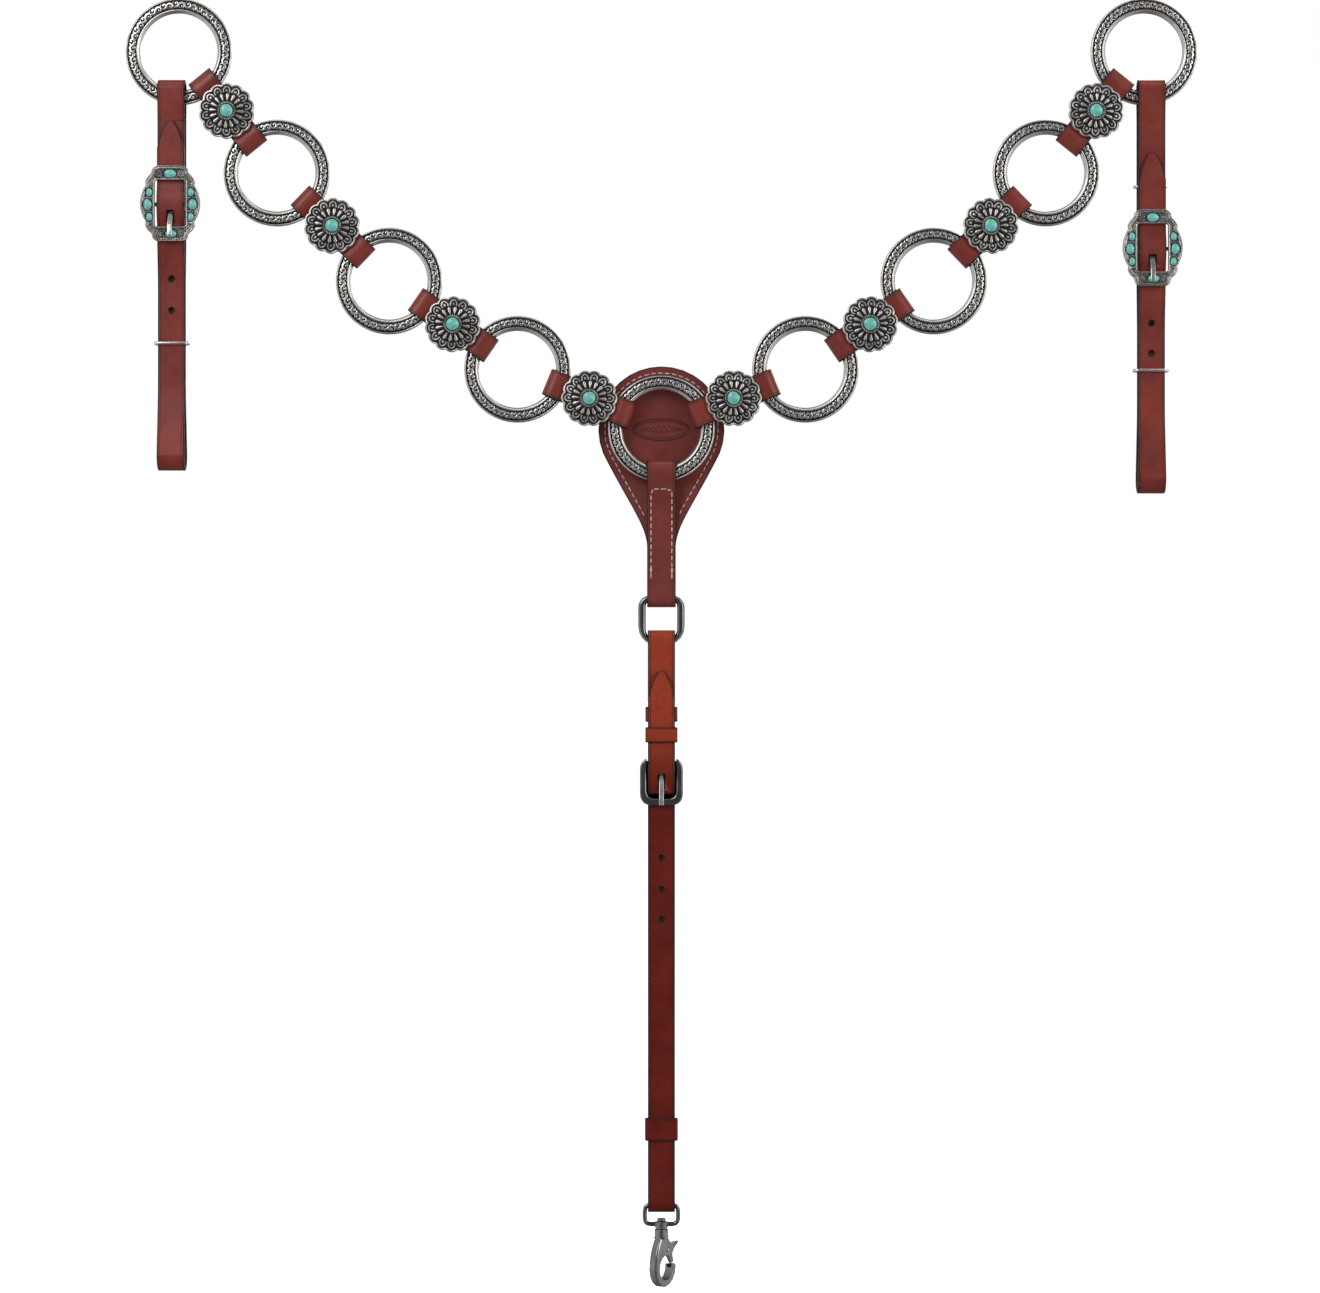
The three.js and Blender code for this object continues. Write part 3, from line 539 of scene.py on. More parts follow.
def sheet_piece(node, face, round_by):
    """Rebuilds a flat CAD sheet: its walls and a narrow strip of each face are painted black.

    Its places across are shares of a whole metre, which keeps a strap's creased lines off it.
    """
    bm = clean_copy(node)
    skin = [part for part in bm.faces if abs(part.normal.y) > 0.5]
    for part in bm.faces:
        part.material_index = DYED if part in skin else PAINTED
    paint_borders(bm, skin, 0.8 * MM)
    piece = bevelled(node + "_leather", bm, round_by, PAINTED, (face, EDGE))
    add_across(piece, middle(node), Vector((1, 0, 0)), 1.0)
    return finish_piece(piece, BODY_OF[node], (), (node,))


def metal_piece(node, material, round_by, angle=40):
    """A CAD metal part with its edges rounded over where they turn more than an angle in degrees."""
    piece = bevelled(node + "_metal", clean_copy(node), round_by, 0, (material,), math.radians(angle))
    return finish_piece(piece, BODY_OF[node], (), (node,))


# ---- rings -----------------------------------------------------------------------------------
RING_REPEATS = 24        # scroll repeats round one ring
REPEAT_COLUMNS = 30
BAND_ROWS = 22
BAND_INNER = 30.15       # the engraved band, in mm from the ring's centre
BAND_OUTER = 35.25
CROWN_RADIUS = 32.4      # the ring's front bulges most here
CROWN_HALF = 5.4
SECTION_RADIUS = 32.1    # middle of the ring's section
SCROLL_LENGTH = TAU * 32.7 / RING_REPEATS
# The ring's section in (radius, depth), from the rim to the band and from the band to the hole.
OUTER_EDGE = [(37.3, 0.0), (37.25, -0.9), (37.0, -1.6), (36.6, -1.95), (36.25, -2.0), (36.05, -1.75),
              (35.5, -1.95)]
INNER_EDGE = [(29.95, -2.5), (29.45, -2.4), (29.25, -2.7), (28.5, -2.4), (27.7, -1.75), (27.1, -0.9),
              (26.9, 0)]


def scroll_strokes():
    """One repeat of the vine as strokes: lists of (along, across, half width) in mm."""
    strokes = []
    for turn, start in ((1, 0.0), (-1, 0.5)):
        stem, curl, leaf = [], [], []
        for t in np.linspace(0, 1, 30):
            along = (start + 0.6 * t - 0.05) * SCROLL_LENGTH
            swell = math.sin(math.pi * t)
            stem.append((along, turn * (1.65 * swell - 0.5 * (1 - t)), 0.4 + 0.4 * swell))
            angle = 0.5 - 3.6 * t
            radius = 1.2 * (1 - 0.6 * t)
            curl.append(((start + 0.34) * SCROLL_LENGTH + radius * math.cos(angle),
                         turn * (-1.0 + radius * math.sin(angle)), 0.36 + 0.36 * t))
            leaf.append(((start + 0.50 + 0.13 * t) * SCROLL_LENGTH, turn * (0.9 + 1.25 * t),
                         0.5 * (1 - 0.6 * t)))
        strokes += [stem, curl, leaf]
    return strokes


def scroll_height():
    """Height of the raised scroll, 0 to 1, over one repeat: rows across the band, columns along it."""
    along = np.arange(REPEAT_COLUMNS) / REPEAT_COLUMNS * SCROLL_LENGTH
    across = np.linspace(-1, 1, BAND_ROWS) * (BAND_OUTER - BAND_INNER) / 2
    grid_across, grid_along = np.meshgrid(across, along, indexing="ij")
    height = np.zeros_like(grid_along)
    for stroke in scroll_strokes():
        for s, v, half in stroke:
            for shift in (-SCROLL_LENGTH, 0, SCROLL_LENGTH):
                distance = np.hypot(grid_along - s - shift, grid_across - v)
                height = np.maximum(height, ridge(distance, half))
    return height


def ring_mesh():
    """The cast ring: rim, engraved band and polished inner bevel in front, plain rounded back."""
    band_radius = np.linspace(BAND_OUTER, BAND_INNER, BAND_ROWS)
    band_depth = -3.0 * np.sqrt(1 - ((band_radius - CROWN_RADIUS) / CROWN_HALF) ** 2) + 0.12
    relief = np.tile(scroll_height()[::-1], (1, RING_REPEATS))
    rows = RoundRows(RING_REPEATS * REPEAT_COLUMNS)
    for radius, depth in OUTER_EDGE:
        # Black patina in the groove by the band; the polished outer rim is painted part-dark, a painted
        # shade that keeps its outline grey against the white.
        rows.add(radius, depth, 1.0 if radius < 36.1 else 0.34)
    for radius, depth, raised in zip(band_radius, band_depth, relief):
        proud = smoothstep(0.05, 0.6, raised)
        rows.add(radius, depth - 0.2 * proud + 0.1, 1 - proud)
    for radius, depth in INNER_EDGE:
        # Black patina in the groove by the band; the inner bevel is bright; the wall of the hole is painted
        # part-dark, a painted shade.
        rows.add(radius, depth, 1.0 if radius > 29.4 else 0.0 if radius > 27.5 else 0.4)
    for angle in np.linspace(0, math.pi, 14)[1:-1]:
        rows.add(SECTION_RADIUS - 5.2 * math.cos(angle), 3.1 * math.sin(angle), 0.3)
    return rows.piece("ring", closed=True)


def place_rings():
    pattern = ring_mesh()
    pattern.data.materials.append(RING_SILVER)
    for name in sorted(n for n in frame["nodes"] if n.startswith("ring_")):
        ring = linked_object(name + "_cast", pattern.data)
        ring.location = middle(name)
        finish_piece(ring, BODY_OF[name], (), (name,))
    bpy.data.objects.remove(pattern)


# ---- conchos ---------------------------------------------------------------------------------
LOBES = 14
SPOKES = 16
ROPE_BEADS = 28
CONCHO_RADIUS = 19.6         # mm, to the tips of the lobes
FLAT_RADIUS = 19.2           # the inner rows keep to a circle of this size, and the outer ones wave
STONE_SEAT = 4.9


def concho_relief(radius, angle, edge):
    """Raised detail of the flower, 0 to 1, at a place in mm and radians; edge is the outline there."""
    inside = edge - radius
    rim = np.where(inside < 0.6, 1, ridge(inside - 0.6, 0.7))
    lobe_angle = (angle * LOBES / TAU + 0.5) % 1 - 0.5
    sideways = lobe_angle * TAU / LOBES * radius
    loop = np.hypot(sideways / 2.5, (radius - 14.2) / 3.0)
    loops = np.maximum(ridge(loop - 0.92, 0.24), ridge(loop, 0.4)) * (radius > 12.7) * (inside > 1.5)
    spoke_angle = (angle * SPOKES / TAU + 0.5) % 1 - 0.5
    off_spoke = np.abs(spoke_angle * TAU / SPOKES * radius)
    grow = np.clip((radius - 7.1) / 3.6, 0, 1)
    round_end = np.sqrt(np.clip(1 - (np.clip(radius - 10.7, 0, None) / 1.4) ** 2, 0, 1))
    half = (0.35 + 0.8 * grow) * round_end + 1e-4
    spoke = ridge(off_spoke, half) * (radius > 7.1) * (radius < 12.1)
    rope_angle = (angle * ROPE_BEADS / TAU + radius * 0.35 + 0.5) % 1 - 0.5
    rope = ridge(radius - 5.75, 0.95) * (0.7 + 0.3 * np.cos(TAU * rope_angle))
    return rim, np.clip(loops, 0, 1), spoke, rope


def concho_mesh():
    """A scalloped flower: polished rim, nested loops in each lobe, raised spokes and a rope bezel."""
    rows = RoundRows(24 * LOBES)
    angles = rows.angles
    edge = CONCHO_RADIUS * (0.925 + 0.075 * np.abs(np.cos(angles * LOBES / 2)) ** 0.7)
    for step in np.linspace(0.012, 1, 62):
        wave = smoothstep(0.6, 1, step)
        radius = step * (edge * wave + FLAT_RADIUS * (1 - wave))
        rim, loops, spoke, rope = concho_relief(radius, angles, edge)
        dome = -7.95 - 2.6 * (1 - (radius / CONCHO_RADIUS) ** 2)
        raised = 0.5 * rim + 0.4 * loops + 0.55 * spoke + 0.8 * rope
        bright = np.maximum.reduce([smoothstep(0.2, 0.6, rim), 0.58 * smoothstep(0.25, 0.7, loops),
                                    smoothstep(0.15, 0.5, spoke), 0.6 * smoothstep(0.3, 0.7, rope)])
        rows.add(radius, dome - raised, np.where(radius < STONE_SEAT, 0.9, 1 - bright))
    for shrink, depth in ((1.0, -7.75), (0.995, -7.2), (0.985, -6.95)):
        rows.add(edge * shrink, depth, 0.25)
    for radius, depth in ((16.0, -6.4), (5.0, -3.06), (2.2, -3.05), (2.2, -0.2), (0.2, -0.2)):
        rows.add(radius, depth, 0.5)
    return rows.piece("concho", closed=False)


def cabochon(name, half_wide, half_high, rise, seed):
    """A slightly uneven polished stone: its base lies in the XZ plane and it rises towards -Y."""
    rows, columns = 12, 36
    wobble = random.Random(seed)
    phases = [wobble.uniform(0, TAU) for _ in range(3)]
    points = []
    for i in range(rows):
        tilt = math.pi / 2 * i / (rows - 1)
        for j in range(columns):
            angle = TAU * j / columns
            uneven = 1 + 0.018 * sum(math.sin((k + 2) * angle + phases[k]) for k in range(3))
            across = math.cos(tilt) ** 0.8 * uneven + 1e-5
            points.append((half_wide * across * math.sin(angle) * MM, -rise * math.sin(tilt) * MM,
                           half_high * across * math.cos(angle) * MM))
    base = len(points)
    for j in range(columns):
        points.append((points[j][0], 0.5 * MM, points[j][2]))
    faces = grid_faces(rows, columns)
    faces += [(k, base + k, base + (k + 1) % columns, (k + 1) % columns) for k in range(columns)]
    faces.append(tuple(base + k for k in range(columns)))
    faces.append(tuple((rows - 1) * columns + k for k in range(columns)))
    return face_outwards(mesh_object(name, points, faces))


def screw_mesh():
    """The back screw: a low domed head with a driver slot, on a short shank."""
    columns = 48
    angles = TAU * np.arange(columns) / columns
    profile = [(r, 4.15 + 0.75 * math.sqrt(max(0, 1 - (r / 5.2) ** 2))) for r in np.linspace(0.1, 4.6, 14)]
    profile += [(4.9, 4.25), (5.0, 3.9), (5.0, 3.2), (4.8, 3.06), (2.2, 3.05), (2.2, 0.17), (0.1, 0.17)]
    points = []
    for radius, depth in profile:
        for angle in angles:
            x, z = radius * math.sin(angle), radius * math.cos(angle)
            in_slot = abs(x) < 0.62 and depth > 3.9
            points.append((x * MM, (depth - (0.8 if in_slot else 0)) * MM, z * MM))
    faces = grid_faces(len(profile), columns) + end_caps(len(profile), columns)
    piece = face_outwards(mesh_object("screw", points, faces))
    piece.data.set_sharp_from_angle(angle=math.radians(42))
    return piece


def place_conchos():
    flower, screw = concho_mesh(), screw_mesh()
    flower.data.materials.append(CONCHO_SILVER)
    screw.data.materials.append(NICKEL)
    for side in SIDES:
        for index in range(1, 5):
            label = f"{side}_{index}"
            spot = middle("concho_screw_" + label)
            spot.y = 0
            turn = random.uniform(0, TAU)
            concho_node, screw_node = "concho_" + label, "concho_screw_" + label
            for mesh, node, name in ((flower.data, concho_node, concho_node + "_flower"),
                                     (screw.data, screw_node, screw_node + "_slotted")):
                piece = linked_object(name, mesh)
                piece.location = spot
                piece.rotation_euler = (0, turn, 0)
                finish_piece(piece, "collar", (), (node,))
            stone = cabochon("concho_stone_" + label, 4.55, 4.55, 1.7, 11 * index + len(side))
            stone.location = spot + Vector((0, -10.5 * MM, 0))
            finish_piece(stone, "collar", (STONE,))
    bpy.data.objects.remove(flower)
    bpy.data.objects.remove(screw)


# ---- the tugs' ornamental buckles --------------------------------------------------------------
# Half of the buckle's outline, from the middle of its lower edge: shares of its half sizes.
ORNATE_HALF = [(0, -1), (0.28, -1), (0.46, -0.985), (0.575, -0.91), (0.625, -0.79), (0.745, -0.7),
               (0.825, -0.58), (0.82, -0.47), (0.9, -0.35), (0.98, -0.16), (1, 0), (0.98, 0.16), (0.9, 0.36),
               (0.82, 0.48), (0.83, 0.58), (0.755, 0.69), (0.64, 0.79), (0.595, 0.9), (0.46, 0.985),
               (0.28, 1), (0, 1)]


def ornate_outline(half_wide, half_high, steps=6):
    """The buckle's wavy outline as a smooth closed curve through ORNATE_HALF and its mirror image."""
    right = np.array(ORNATE_HALF) * (half_wide, half_high)
    marks = np.concatenate([right, right[-2:0:-1] * (-1, 1)])
    before, after, beyond = (np.roll(marks, shift, axis=0) for shift in (1, -1, -2))
    rows = []
    for t in np.arange(steps) / steps:
        square = 2 * before - 5 * marks + 4 * after - beyond
        cube = 3 * marks - before - 3 * after + beyond
        rows.append(0.5 * (2 * marks + (after - before) * t + square * t ** 2 + cube * t ** 3))
    return np.stack(rows, 1).reshape(-1, 2)


def window_outline(half_wide, half_high, radius=1.5):
    """The buckle's window: a rectangle with rounded corners."""
    points = []
    for sx, sz, start in ((1, 1, 0), (-1, 1, 90), (-1, -1, 180), (1, -1, 270)):
        for turn in np.linspace(0, 90, 6):
            angle = math.radians(start + turn)
            points.append((sx * (half_wide - radius) + radius * math.cos(angle),
                           sz * (half_high - radius) + radius * math.sin(angle)))
    return np.array(points)


def reach_of(outline, angles):
    """How far the outline is from the middle in each direction."""
    ends = np.roll(outline, -1, axis=0)
    reach = []
    for angle in angles:
        ray = np.array((math.cos(angle), math.sin(angle)))
        edge = ends - outline
        cross = ray[0] * edge[:, 1] - ray[1] * edge[:, 0]
        cross = np.where(np.abs(cross) < 1e-9, 1e-9, cross)
        along = (outline[:, 0] * edge[:, 1] - outline[:, 1] * edge[:, 0]) / cross
        share = (outline[:, 0] * ray[1] - outline[:, 1] * ray[0]) / cross
        good = (along > 0) & (share >= -1e-6) & (share <= 1 + 1e-6)
        reach.append(along[good].max())
    return np.array(reach)


def gap_to(outline, x, z):
    """Distance in mm from each place to the outline."""
    ends = np.roll(outline, -1, axis=0)
    best = np.full(x.shape, 1e9)
    for (ax, az), (bx, bz) in zip(outline, ends):
        dx, dz = bx - ax, bz - az
        share = np.clip(((x - ax) * dx + (z - az) * dz) / (dx * dx + dz * dz + 1e-12), 0, 1)
        best = np.minimum(best, np.hypot(x - ax - share * dx, z - az - share * dz))
    return best


PLATE_DEPTH = 2.6            # mm

# Stones round the buckle's window: (across, height as a share of the half height, half sizes in mm).
BUCKLE_STONES = [(0, 0.775, 4.3, 3.0), (0.5, -0.80, 4.0, 2.8)]
for mirror in (-1, 1):
    BUCKLE_STONES += [(mirror * 14.5, 0.285, 2.25, 2.95), (mirror * 15.7, -0.035, 2.95, 3.9),
                      (mirror * 14.5, -0.36, 2.25, 2.95)]


def scroll_curls(half_high):
    """Middle, size and sense of each engraved curl in the plate's four corners, in mm."""
    curls = []
    for up in (-1, 1):
        for out in (-1, 1):
            curls += [(out * 8.0, up * 0.79 * half_high, 2.7, out),
                      (out * 12.6, up * 0.66 * half_high, 2.5, -out),
                      (out * 13.7, up * 0.49 * half_high, 1.7, out)]
    return curls


def buckle_relief(x, z, half_high, outer_gap, window_gap):
    """Raised detail of the plate, 0 to 1: two rims, corner scrolls, beads and a setting round each stone."""
    level = np.maximum(ridge(outer_gap - 0.55, 0.65), 0.95 * ridge(outer_gap - 1.95, 0.5))
    level = np.maximum(level, ridge(window_gap - 0.6, 0.75))
    leafy = np.sin(x * 2.9 + 1.7 * np.sin(z * 1.6)) * np.sin(z * 2.6 + 1.5 * np.sin(x * 1.9))
    level = np.maximum(level, 0.68 * smoothstep(0.0, 0.5, np.abs(leafy)))
    for cx, cz, size, turn in scroll_curls(half_high):
        away = np.hypot(x - cx, z - cz)
        angle = np.arctan2(z - cz, (x - cx) * turn)
        spiral = np.abs(((away / 1.25 - angle / TAU) + 0.5) % 1 - 0.5)
        level = np.maximum(level, 0.75 * ridge(spiral, 0.3) * (away < size))
    for cx, share, wide, high in BUCKLE_STONES:
        cz = share * half_high
        around = np.hypot((x - cx) / (wide + 0.45), (z - cz) / (high + 0.45))
        level = np.maximum(level * (around > 1.08), 0.55 * ridge(around - 1.0, 0.16))
        for side in (-1, 1):
            for turn in (-0.45, 0, 0.45):
                bx = cx + (wide + 1.2) * math.sin(turn)
                bz = cz + side * (high + 1.15) * math.cos(turn)
                if abs(cx) > 5:
                    level = np.maximum(level, 0.8 * ridge(np.hypot(x - bx, z - bz), 0.62))
    return level


def buckle_plate(name, node):
    """The cast plate with its window, as a closed mesh round its own middle."""
    half_high = half_size(node).z / MM
    face_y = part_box(node)[0].y / MM
    outline = ornate_outline(21, half_high)
    window = window_outline(10.7, half_high - 10.5)
    columns, rows = 480, 30
    angles = TAU * np.arange(columns) / columns
    outer, inner = reach_of(outline, angles), reach_of(window, angles)
    points, patina_and_shade = [], []

    def add_row(share, depth_of):
        reach = inner + (outer - inner) * share
        x, z = reach * np.cos(angles), reach * np.sin(angles)
        depth, dark = depth_of(x, z)
        depth = np.broadcast_to(depth, columns)
        points.append(np.stack([x, depth, z], 1) * MM)
        patina_and_shade.append(np.broadcast_to(dark, columns))

    def front(x, z):
        outer_gap, window_gap = gap_to(outline, x, z), gap_to(window, x, z)
        level = buckle_relief(x, z, half_high, outer_gap, window_gap)
        fall = 0.9 * smoothstep(0.5, 0, outer_gap) + 0.7 * smoothstep(0.4, 0, window_gap)
        shine = np.where((outer_gap < 1.1) | (window_gap < 1.2), level, 0.86 * level)
        return face_y + 0.75 - 0.75 * level + fall, 1 - smoothstep(0.2, 0.9, shine)

    for share in np.linspace(0, 1, rows):
        add_row(share, front)
    for share, depth in ((1, 1.9), (0.98, PLATE_DEPTH), (0.02, PLATE_DEPTH), (0, 1.9)):
        add_row(share, lambda x, z, depth=depth: (face_y + depth, 0.4))
    faces = grid_faces(len(points), columns, wrap_rows=True)
    return face_outwards(mesh_object(name, np.concatenate(points), faces, np.concatenate(patina_and_shade)))


def place_tug_buckle(side):
    """Plate, set-back centre bar and stones of one tug's buckle."""
    node = f"tug_{side}_buckle"
    body = BODY_OF[node]
    spot = middle(node)
    low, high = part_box(node)
    plate = buckle_plate(node + "_plate", node)
    plate.location = (spot.x, 0, spot.z)
    finish_piece(plate, body, (PLATE_SILVER,), (node,))
    bar_y, face_y = high.y - 1.6 * MM, low.y
    reach = 12.6 * MM
    across = [(spot.x - reach, bar_y, spot.z), (spot.x + reach, bar_y, spot.z)]
    tubes = [dict(path=across, radii=1.6 * MM, sides=20)]
    for out in (-1, 1):
        x = spot.x + out * 12.3 * MM
        leg = [(x, face_y + 1.6 * MM, spot.z), (x, bar_y, spot.z)]
        tubes.append(dict(path=leg, radii=1.4 * MM, sides=18))
    bar = joined_tubes(node + "_bar", tubes)
    finish_piece(bar, body, (DARK_NICKEL,))
    half_high = half_size(node).z / MM
    for number, (cx, share, wide, tall) in enumerate(BUCKLE_STONES):
        stone = cabochon(f"tug_{side}_stone_{number + 1}", wide, tall, 1.5, 40 + number + len(side))
        stone.location = (spot.x + cx * MM, face_y + 0.75 * MM, spot.z + share * half_high * MM)
        finish_piece(stone, body, (STONE,))


# ---- wire slides -------------------------------------------------------------------------------
def wire_loop(node, material):
    """A bent wire round a strap, with rounded corners, in the box of its CAD node."""
    low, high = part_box(node)
    radius = (high.z - low.z) / 2
    centre = middle(node)
    corner = 2.4 * MM
    half_x, half_y = (high.x - low.x) / 2 - radius, (high.y - low.y) / 2 - radius
    path = []
    for sx, sy, start in ((1, 1, 0), (-1, 1, 90), (-1, -1, 180), (1, -1, 270)):
        for turn in np.linspace(0, 90, 7):
            angle = math.radians(start + turn)
            x = sx * (half_x - corner) + corner * math.cos(angle)
            y = sy * (half_y - corner) + corner * math.sin(angle)
            path.append((centre.x + x, centre.y + y, centre.z))
    piece = joined_tubes(node + "_wire", [dict(path=path, radii=radius, sides=14, closed=True)])
    return finish_piece(piece, BODY_OF[node], (material,), (node,))


# ---- stitching ---------------------------------------------------------------------------------
def surface_of(node, towards):
    """A function giving the first surface of a CAD node met along Y from the given side."""
    tree = BVHTree.FromPolygons([v.co for v in frame["nodes"][node].data.vertices],
                                [p.vertices for p in frame["nodes"][node].data.polygons])

    def depth(x, z):
        hit = tree.ray_cast(Vector((x, -towards * 0.2, z)), Vector((0, towards, 0)))[0]
        return hit.y if hit else None

    return depth


def along_line(line, pitch):
    """Places spaced evenly along a polyline of (x, z) points."""
    line = np.array(line)
    steps = np.hypot(*np.diff(line, axis=0).T)
    total = np.concatenate([[0], np.cumsum(steps)])
    marks = np.arange(0, total[-1], pitch)
    return [(np.interp(m, total, line[:, 0]), np.interp(m, total, line[:, 1])) for m in marks]


def stitch_row(name, node, line, towards=1, pitch=4.9 * MM, thread=0.45 * MM):
    """Sewn stitches along a line on a CAD node's surface; each dips into the leather at its ends."""
    depth = surface_of(node, towards)
    spots = along_line(line, pitch)
    tubes = []
    for (ax, az), (bx, bz) in zip(spots, spots[1:]):
        path = []
        for share in (0.14, 0.22, 0.34, 0.5, 0.66, 0.78, 0.86):
            x, z = ax + (bx - ax) * share, az + (bz - az) * share
            y = depth(x, z)
            if y is None:
                break
            sink = 0.5 * MM * (abs(share - 0.5) / 0.36) ** 3 - 0.16 * MM
            path.append((x, y + towards * sink, z))
        if len(path) == 7:
            taper = [thread * s for s in (0.55, 0.9, 1, 1, 1, 0.9, 0.55)]
            tubes.append(dict(path=path, radii=taper, sides=8))
    piece = joined_tubes(name, tubes)
    return finish_piece(piece, BODY_OF[node], (THREAD,))


def bezier(a, b, c, d, count=24):
    """Points along a cubic curve from a to d."""
    a, b, c, d = (np.array(p, float) for p in (a, b, c, d))
    return [(1 - t) ** 3 * a + 3 * t * (1 - t) ** 2 * b + 3 * t * t * (1 - t) * c + t ** 3 * d
            for t in np.linspace(0, 1, count)]


def shield_seam(inset):
    """The shield's outline moved inwards, from the left of the neck, over the top, to its right."""
    turn = math.radians(-32)
    r, cz = SHIELD_RADIUS, RING_MIDDLE.z
    pivot = cz - SECTION_RADIUS * MM
    waist = (r * math.cos(turn), cz + r * math.sin(turn))
    side = bezier((NECK_HALF, pivot - 50 * MM), (NECK_HALF + MM, pivot - 36 * MM),
                  (waist[0] - 18 * MM, waist[1] - 34 * MM), waist)
    top = [(r * math.cos(a), cz + r * math.sin(a)) for a in np.linspace(turn, math.pi / 2, 30)[1:]]
    right = np.array(side + [np.array(p) for p in top])
    ahead = np.gradient(right, axis=0)
    ahead /= np.linalg.norm(ahead, axis=1, keepdims=True)
    inner = right + inset * np.stack([-ahead[:, 1], ahead[:, 0]], 1)
    inner = inner[inner[:, 0] > -1e-6]
    left = inner[::-1] * np.array((-1, 1))
    return np.concatenate([left[::-1], inner[::-1][1:]])


def place_stitching():
    seam = shield_seam(4.6 * MM)
    visible = seam[(np.abs(seam[:, 0]) > NECK_HALF + 1.2 * MM) | (seam[:, 1] > RING_MIDDLE.z)]
    stitch_row("shield_stitching", "shield_front", visible)
    stitch_row("lining_stitching", "shield_lining", visible, towards=-1)
    half = NECK_HALF - 2.7 * MM
    top, bottom = RING_MIDDLE.z - 42.5 * MM, DEE_TOP + 12 * MM
    box = [(-half, bottom), (-half, top), (half, top), (half, bottom)]
    stitch_row("drop_strap_stitching", "drop_strap", box)
    for side, x in (("left", -half), ("right", half)):
        for number, shift in enumerate((-0.45 * MM, 0.5 * MM)):
            tack = [(x + shift, bottom + 7.6 * MM), (x - shift * 0.4, bottom - 1.2 * MM)]
            stitch_row(f"drop_strap_tack_{side}_{number + 1}", "drop_strap", tack, pitch=4.1 * MM)


def place_emboss():
    """A plain embossed oval in the middle of the shield: two raised lines round a plain rope braid, in dark
    leather that is a painted shade for the pressed lines.
    """
    depth = surface_of("shield_front", 1)
    braid_half, braid_swing = 14.4, 2.3
    cz = RING_MIDDLE.z
    tubes = []

    def raised(points, radius, closed=True):
        path = [(x, depth(x, z) - 0.02 * MM, z) for x, z in points]
        tubes.append(dict(path=path, radii=radius, sides=8, closed=closed, flat=0.75))

    for wide, high, radius in ((19.5, 7.6, 0.5), (17.6, 5.9, 0.32)):
        raised([(wide * MM * math.cos(a), cz + high * MM * math.sin(a))
                for a in np.linspace(0, TAU, 73)[:-1]], radius * MM)
    for swing in (1, -1):
        rope = []
        for x in np.linspace(-braid_half, braid_half, 65):
            off = swing * braid_swing * MM * math.sin(x / braid_half * 2 * TAU) * (1 - abs(x) / 22)
            rope.append((x * MM, cz + off))
        raised(rope, 0.32 * MM, closed=False)
    piece = joined_tubes("shield_embossing", tubes)
    finish_piece(piece, "shield", (PRESSED_SHADE,))


# ---- build -------------------------------------------------------------------------------------
place_rings()
place_conchos()

for side in SIDES:
    for index in range(1, 5):
        outer = middle(f"ring_{side}_{index}")
        inner = middle("ring_centre" if index == 1 else f"ring_{side}_{index - 1}")
        along = (inner - outer).normalized()
        leather_piece(f"link_strap_{side}_{index}", along.cross(Vector((0, 1, 0))), CHESTNUT)
    leather_piece(f"tug_{side}_strap", (1, 0, 0), CHESTNUT)
    place_tug_buckle(side)
    metal_piece(f"tug_{side}_tongue", POLISHED, 0.45 * MM)
    wire_loop(f"tug_{side}_slide", POLISHED)
wire_loop("tug_right_back_wire", POLISHED)

sheet_piece("shield_front", SHIELD_CHESTNUT, 0.5 * MM)
sheet_piece("shield_lining", FLESH, 0.4 * MM)
leather_piece("drop_strap", (1, 0, 0), SHIELD_CHESTNUT)
leather_piece("tie_down_strap", (1, 0, 0), TIE_CHESTNUT)
for keeper in ("fixed", "sliding", "lower"):
    leather_piece("tie_down_keeper_" + keeper, (0, 0, 1), TIE_CHESTNUT, 0.3 * MM, painted=0.3 * MM)
place_stitching()
place_emboss()

metal_piece("dee_loop", DARK_NICKEL, 0.5 * MM, angle=25)
metal_piece("tie_down_buckle", DARK_NICKEL, 0.4 * MM, angle=25)
metal_piece("tie_down_tongue", NICKEL, 0.45 * MM)
metal_piece("snap_eye", DARK_NICKEL, 0.35 * MM, angle=25)
metal_piece("snap_body", DARK_NICKEL, 0.4 * MM, angle=25)
metal_piece("snap_trigger", DARK_NICKEL, 0.45 * MM)
metal_piece("snap_rivet", NICKEL, 0.3 * MM)


# ---- studio ------------------------------------------------------------------------------------
IMAGE_WIDTH = 0.924          # width of the view in metres where the collar hangs
CAMERA_AWAY = 2.6
VIEW_MIDDLE = Vector((-0.001, 0, cad_box[0][2] + 0.4485))
FLOOR_GAP = 0.035
FLOOR_HALF = 30.0


def add_camera():
    """A long lens straight in front of the collar, level with its middle."""
    data = bpy.data.cameras.new("camera")
    data.sensor_width = 36
    data.lens = data.sensor_width * CAMERA_AWAY / IMAGE_WIDTH
    camera = linked_object("camera", data)
    camera.location = VIEW_MIDDLE + Vector((0, -CAMERA_AWAY, 0))
    camera.rotation_euler = (math.pi / 2, 0, 0)
    bpy.context.scene.camera = camera


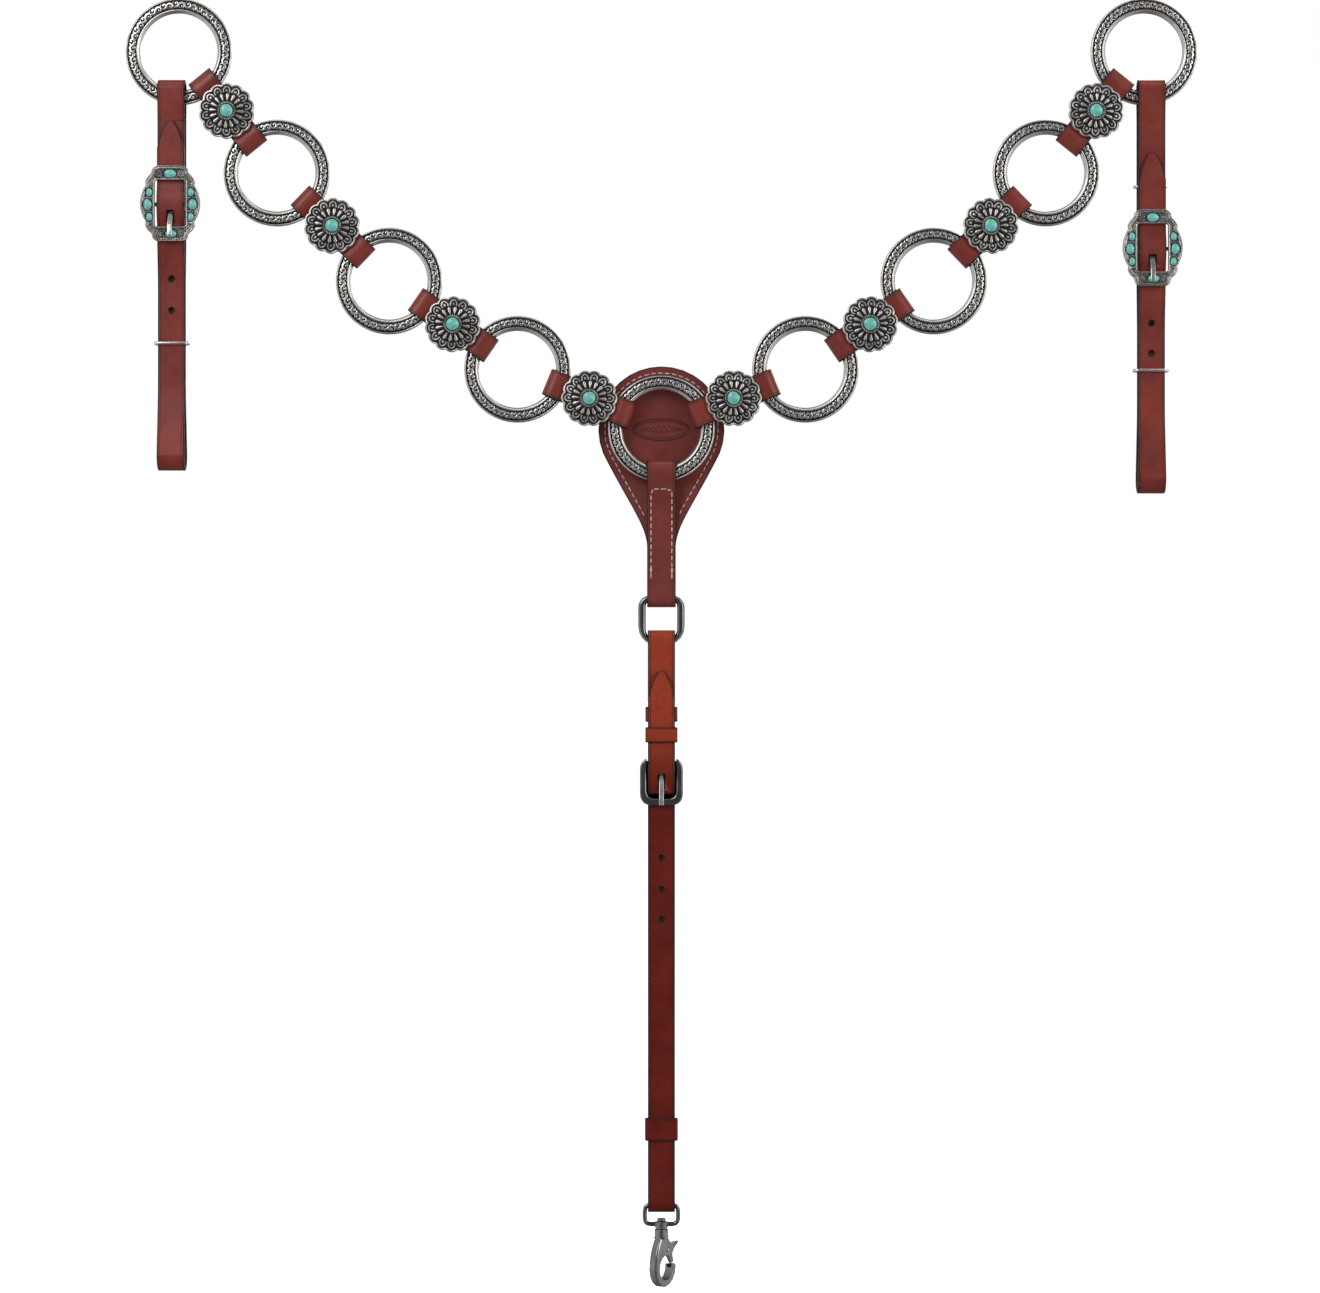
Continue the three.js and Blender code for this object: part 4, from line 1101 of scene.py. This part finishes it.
def add_floor():
    """A plain white floor just below the collar. It glows, but neither lights nor shows in the collar."""
    z = cad_box[0][2] - FLOOR_GAP
    corners = [(-FLOOR_HALF, -FLOOR_HALF, z), (FLOOR_HALF, -FLOOR_HALF, z),
               (FLOOR_HALF, FLOOR_HALF, z), (-FLOOR_HALF, FLOOR_HALF, z)]
    floor = mesh_object("floor", corners, [(0, 1, 2, 3)])
    s = Shader("pale floor")
    colour = s.mix(s.noise(3, 2), (0.93, 0.93, 0.93), (0.97, 0.97, 0.97))
    s.apply(Base_Color=colour, Roughness=0.9, Emission_Color=(1, 1, 1, 1), Emission_Strength=1.0)
    floor.data.materials.append(s.material)
    floor.visible_glossy = False
    floor.visible_diffuse = False


def add_light(name, spot, aim, size, power):
    """A soft white panel at a spot, turned to its aim; size in metres, power in watts."""
    data = bpy.data.lights.new(name, "AREA")
    data.shape = "RECTANGLE"
    data.size, data.size_y = size
    data.energy = power
    light = linked_object(name, data)
    light.location = spot
    light.rotation_euler = (Vector(aim) - Vector(spot)).to_track_quat("-Z", "Y").to_euler()


def add_world():
    """Dim surroundings, paler to the left and right, so that the metal has dark and bright sides.

    The lens itself sees them white, like the floor.
    """
    world = bpy.data.worlds.new("studio")
    world.use_nodes = True
    nodes, link = world.node_tree.nodes, world.node_tree.links.new
    place = nodes.new("ShaderNodeTexCoord")
    parts = nodes.new("ShaderNodeSeparateXYZ")
    link(place.outputs["Generated"], parts.inputs[0])
    sideways = nodes.new("ShaderNodeMath")
    sideways.operation = "ABSOLUTE"
    link(parts.outputs["X"], sideways.inputs[0])
    ramp = nodes.new("ShaderNodeMapRange")
    link(sideways.outputs[0], ramp.inputs["Value"])
    for key, number in (("From Min", 0.1), ("From Max", 0.9), ("To Min", 0.14), ("To Max", 0.75)):
        ramp.inputs[key].default_value = number
    seen = nodes.new("ShaderNodeLightPath")
    strength = nodes.new("ShaderNodeMath")
    strength.operation = "MAXIMUM"
    link(ramp.outputs["Result"], strength.inputs[0])
    link(seen.outputs["Is Camera Ray"], strength.inputs[1])
    link(strength.outputs[0], nodes["Background"].inputs["Strength"])
    nodes["Background"].inputs["Color"].default_value = (1.0, 1.0, 1.0, 1)
    bpy.context.scene.world = world


add_camera()
add_floor()
add_world()
add_light("key", (-1.5, -2.2, 1.1), (0, 0, -0.35), (1.3, 1.6), 30)
add_light("fill", (1.9, -1.9, 0.2), (0, 0, -0.4), (1.0, 1.8), 17)
add_light("top", (0, -0.3, 1.7), (0, 0, -0.4), (2.4, 0.7), 8)
add_light("behind", (1.1, 2.3, 0.7), (0, 0, -0.4), (1.4, 1.6), 22)
bpy.context.scene.view_settings.view_transform = "Standard"
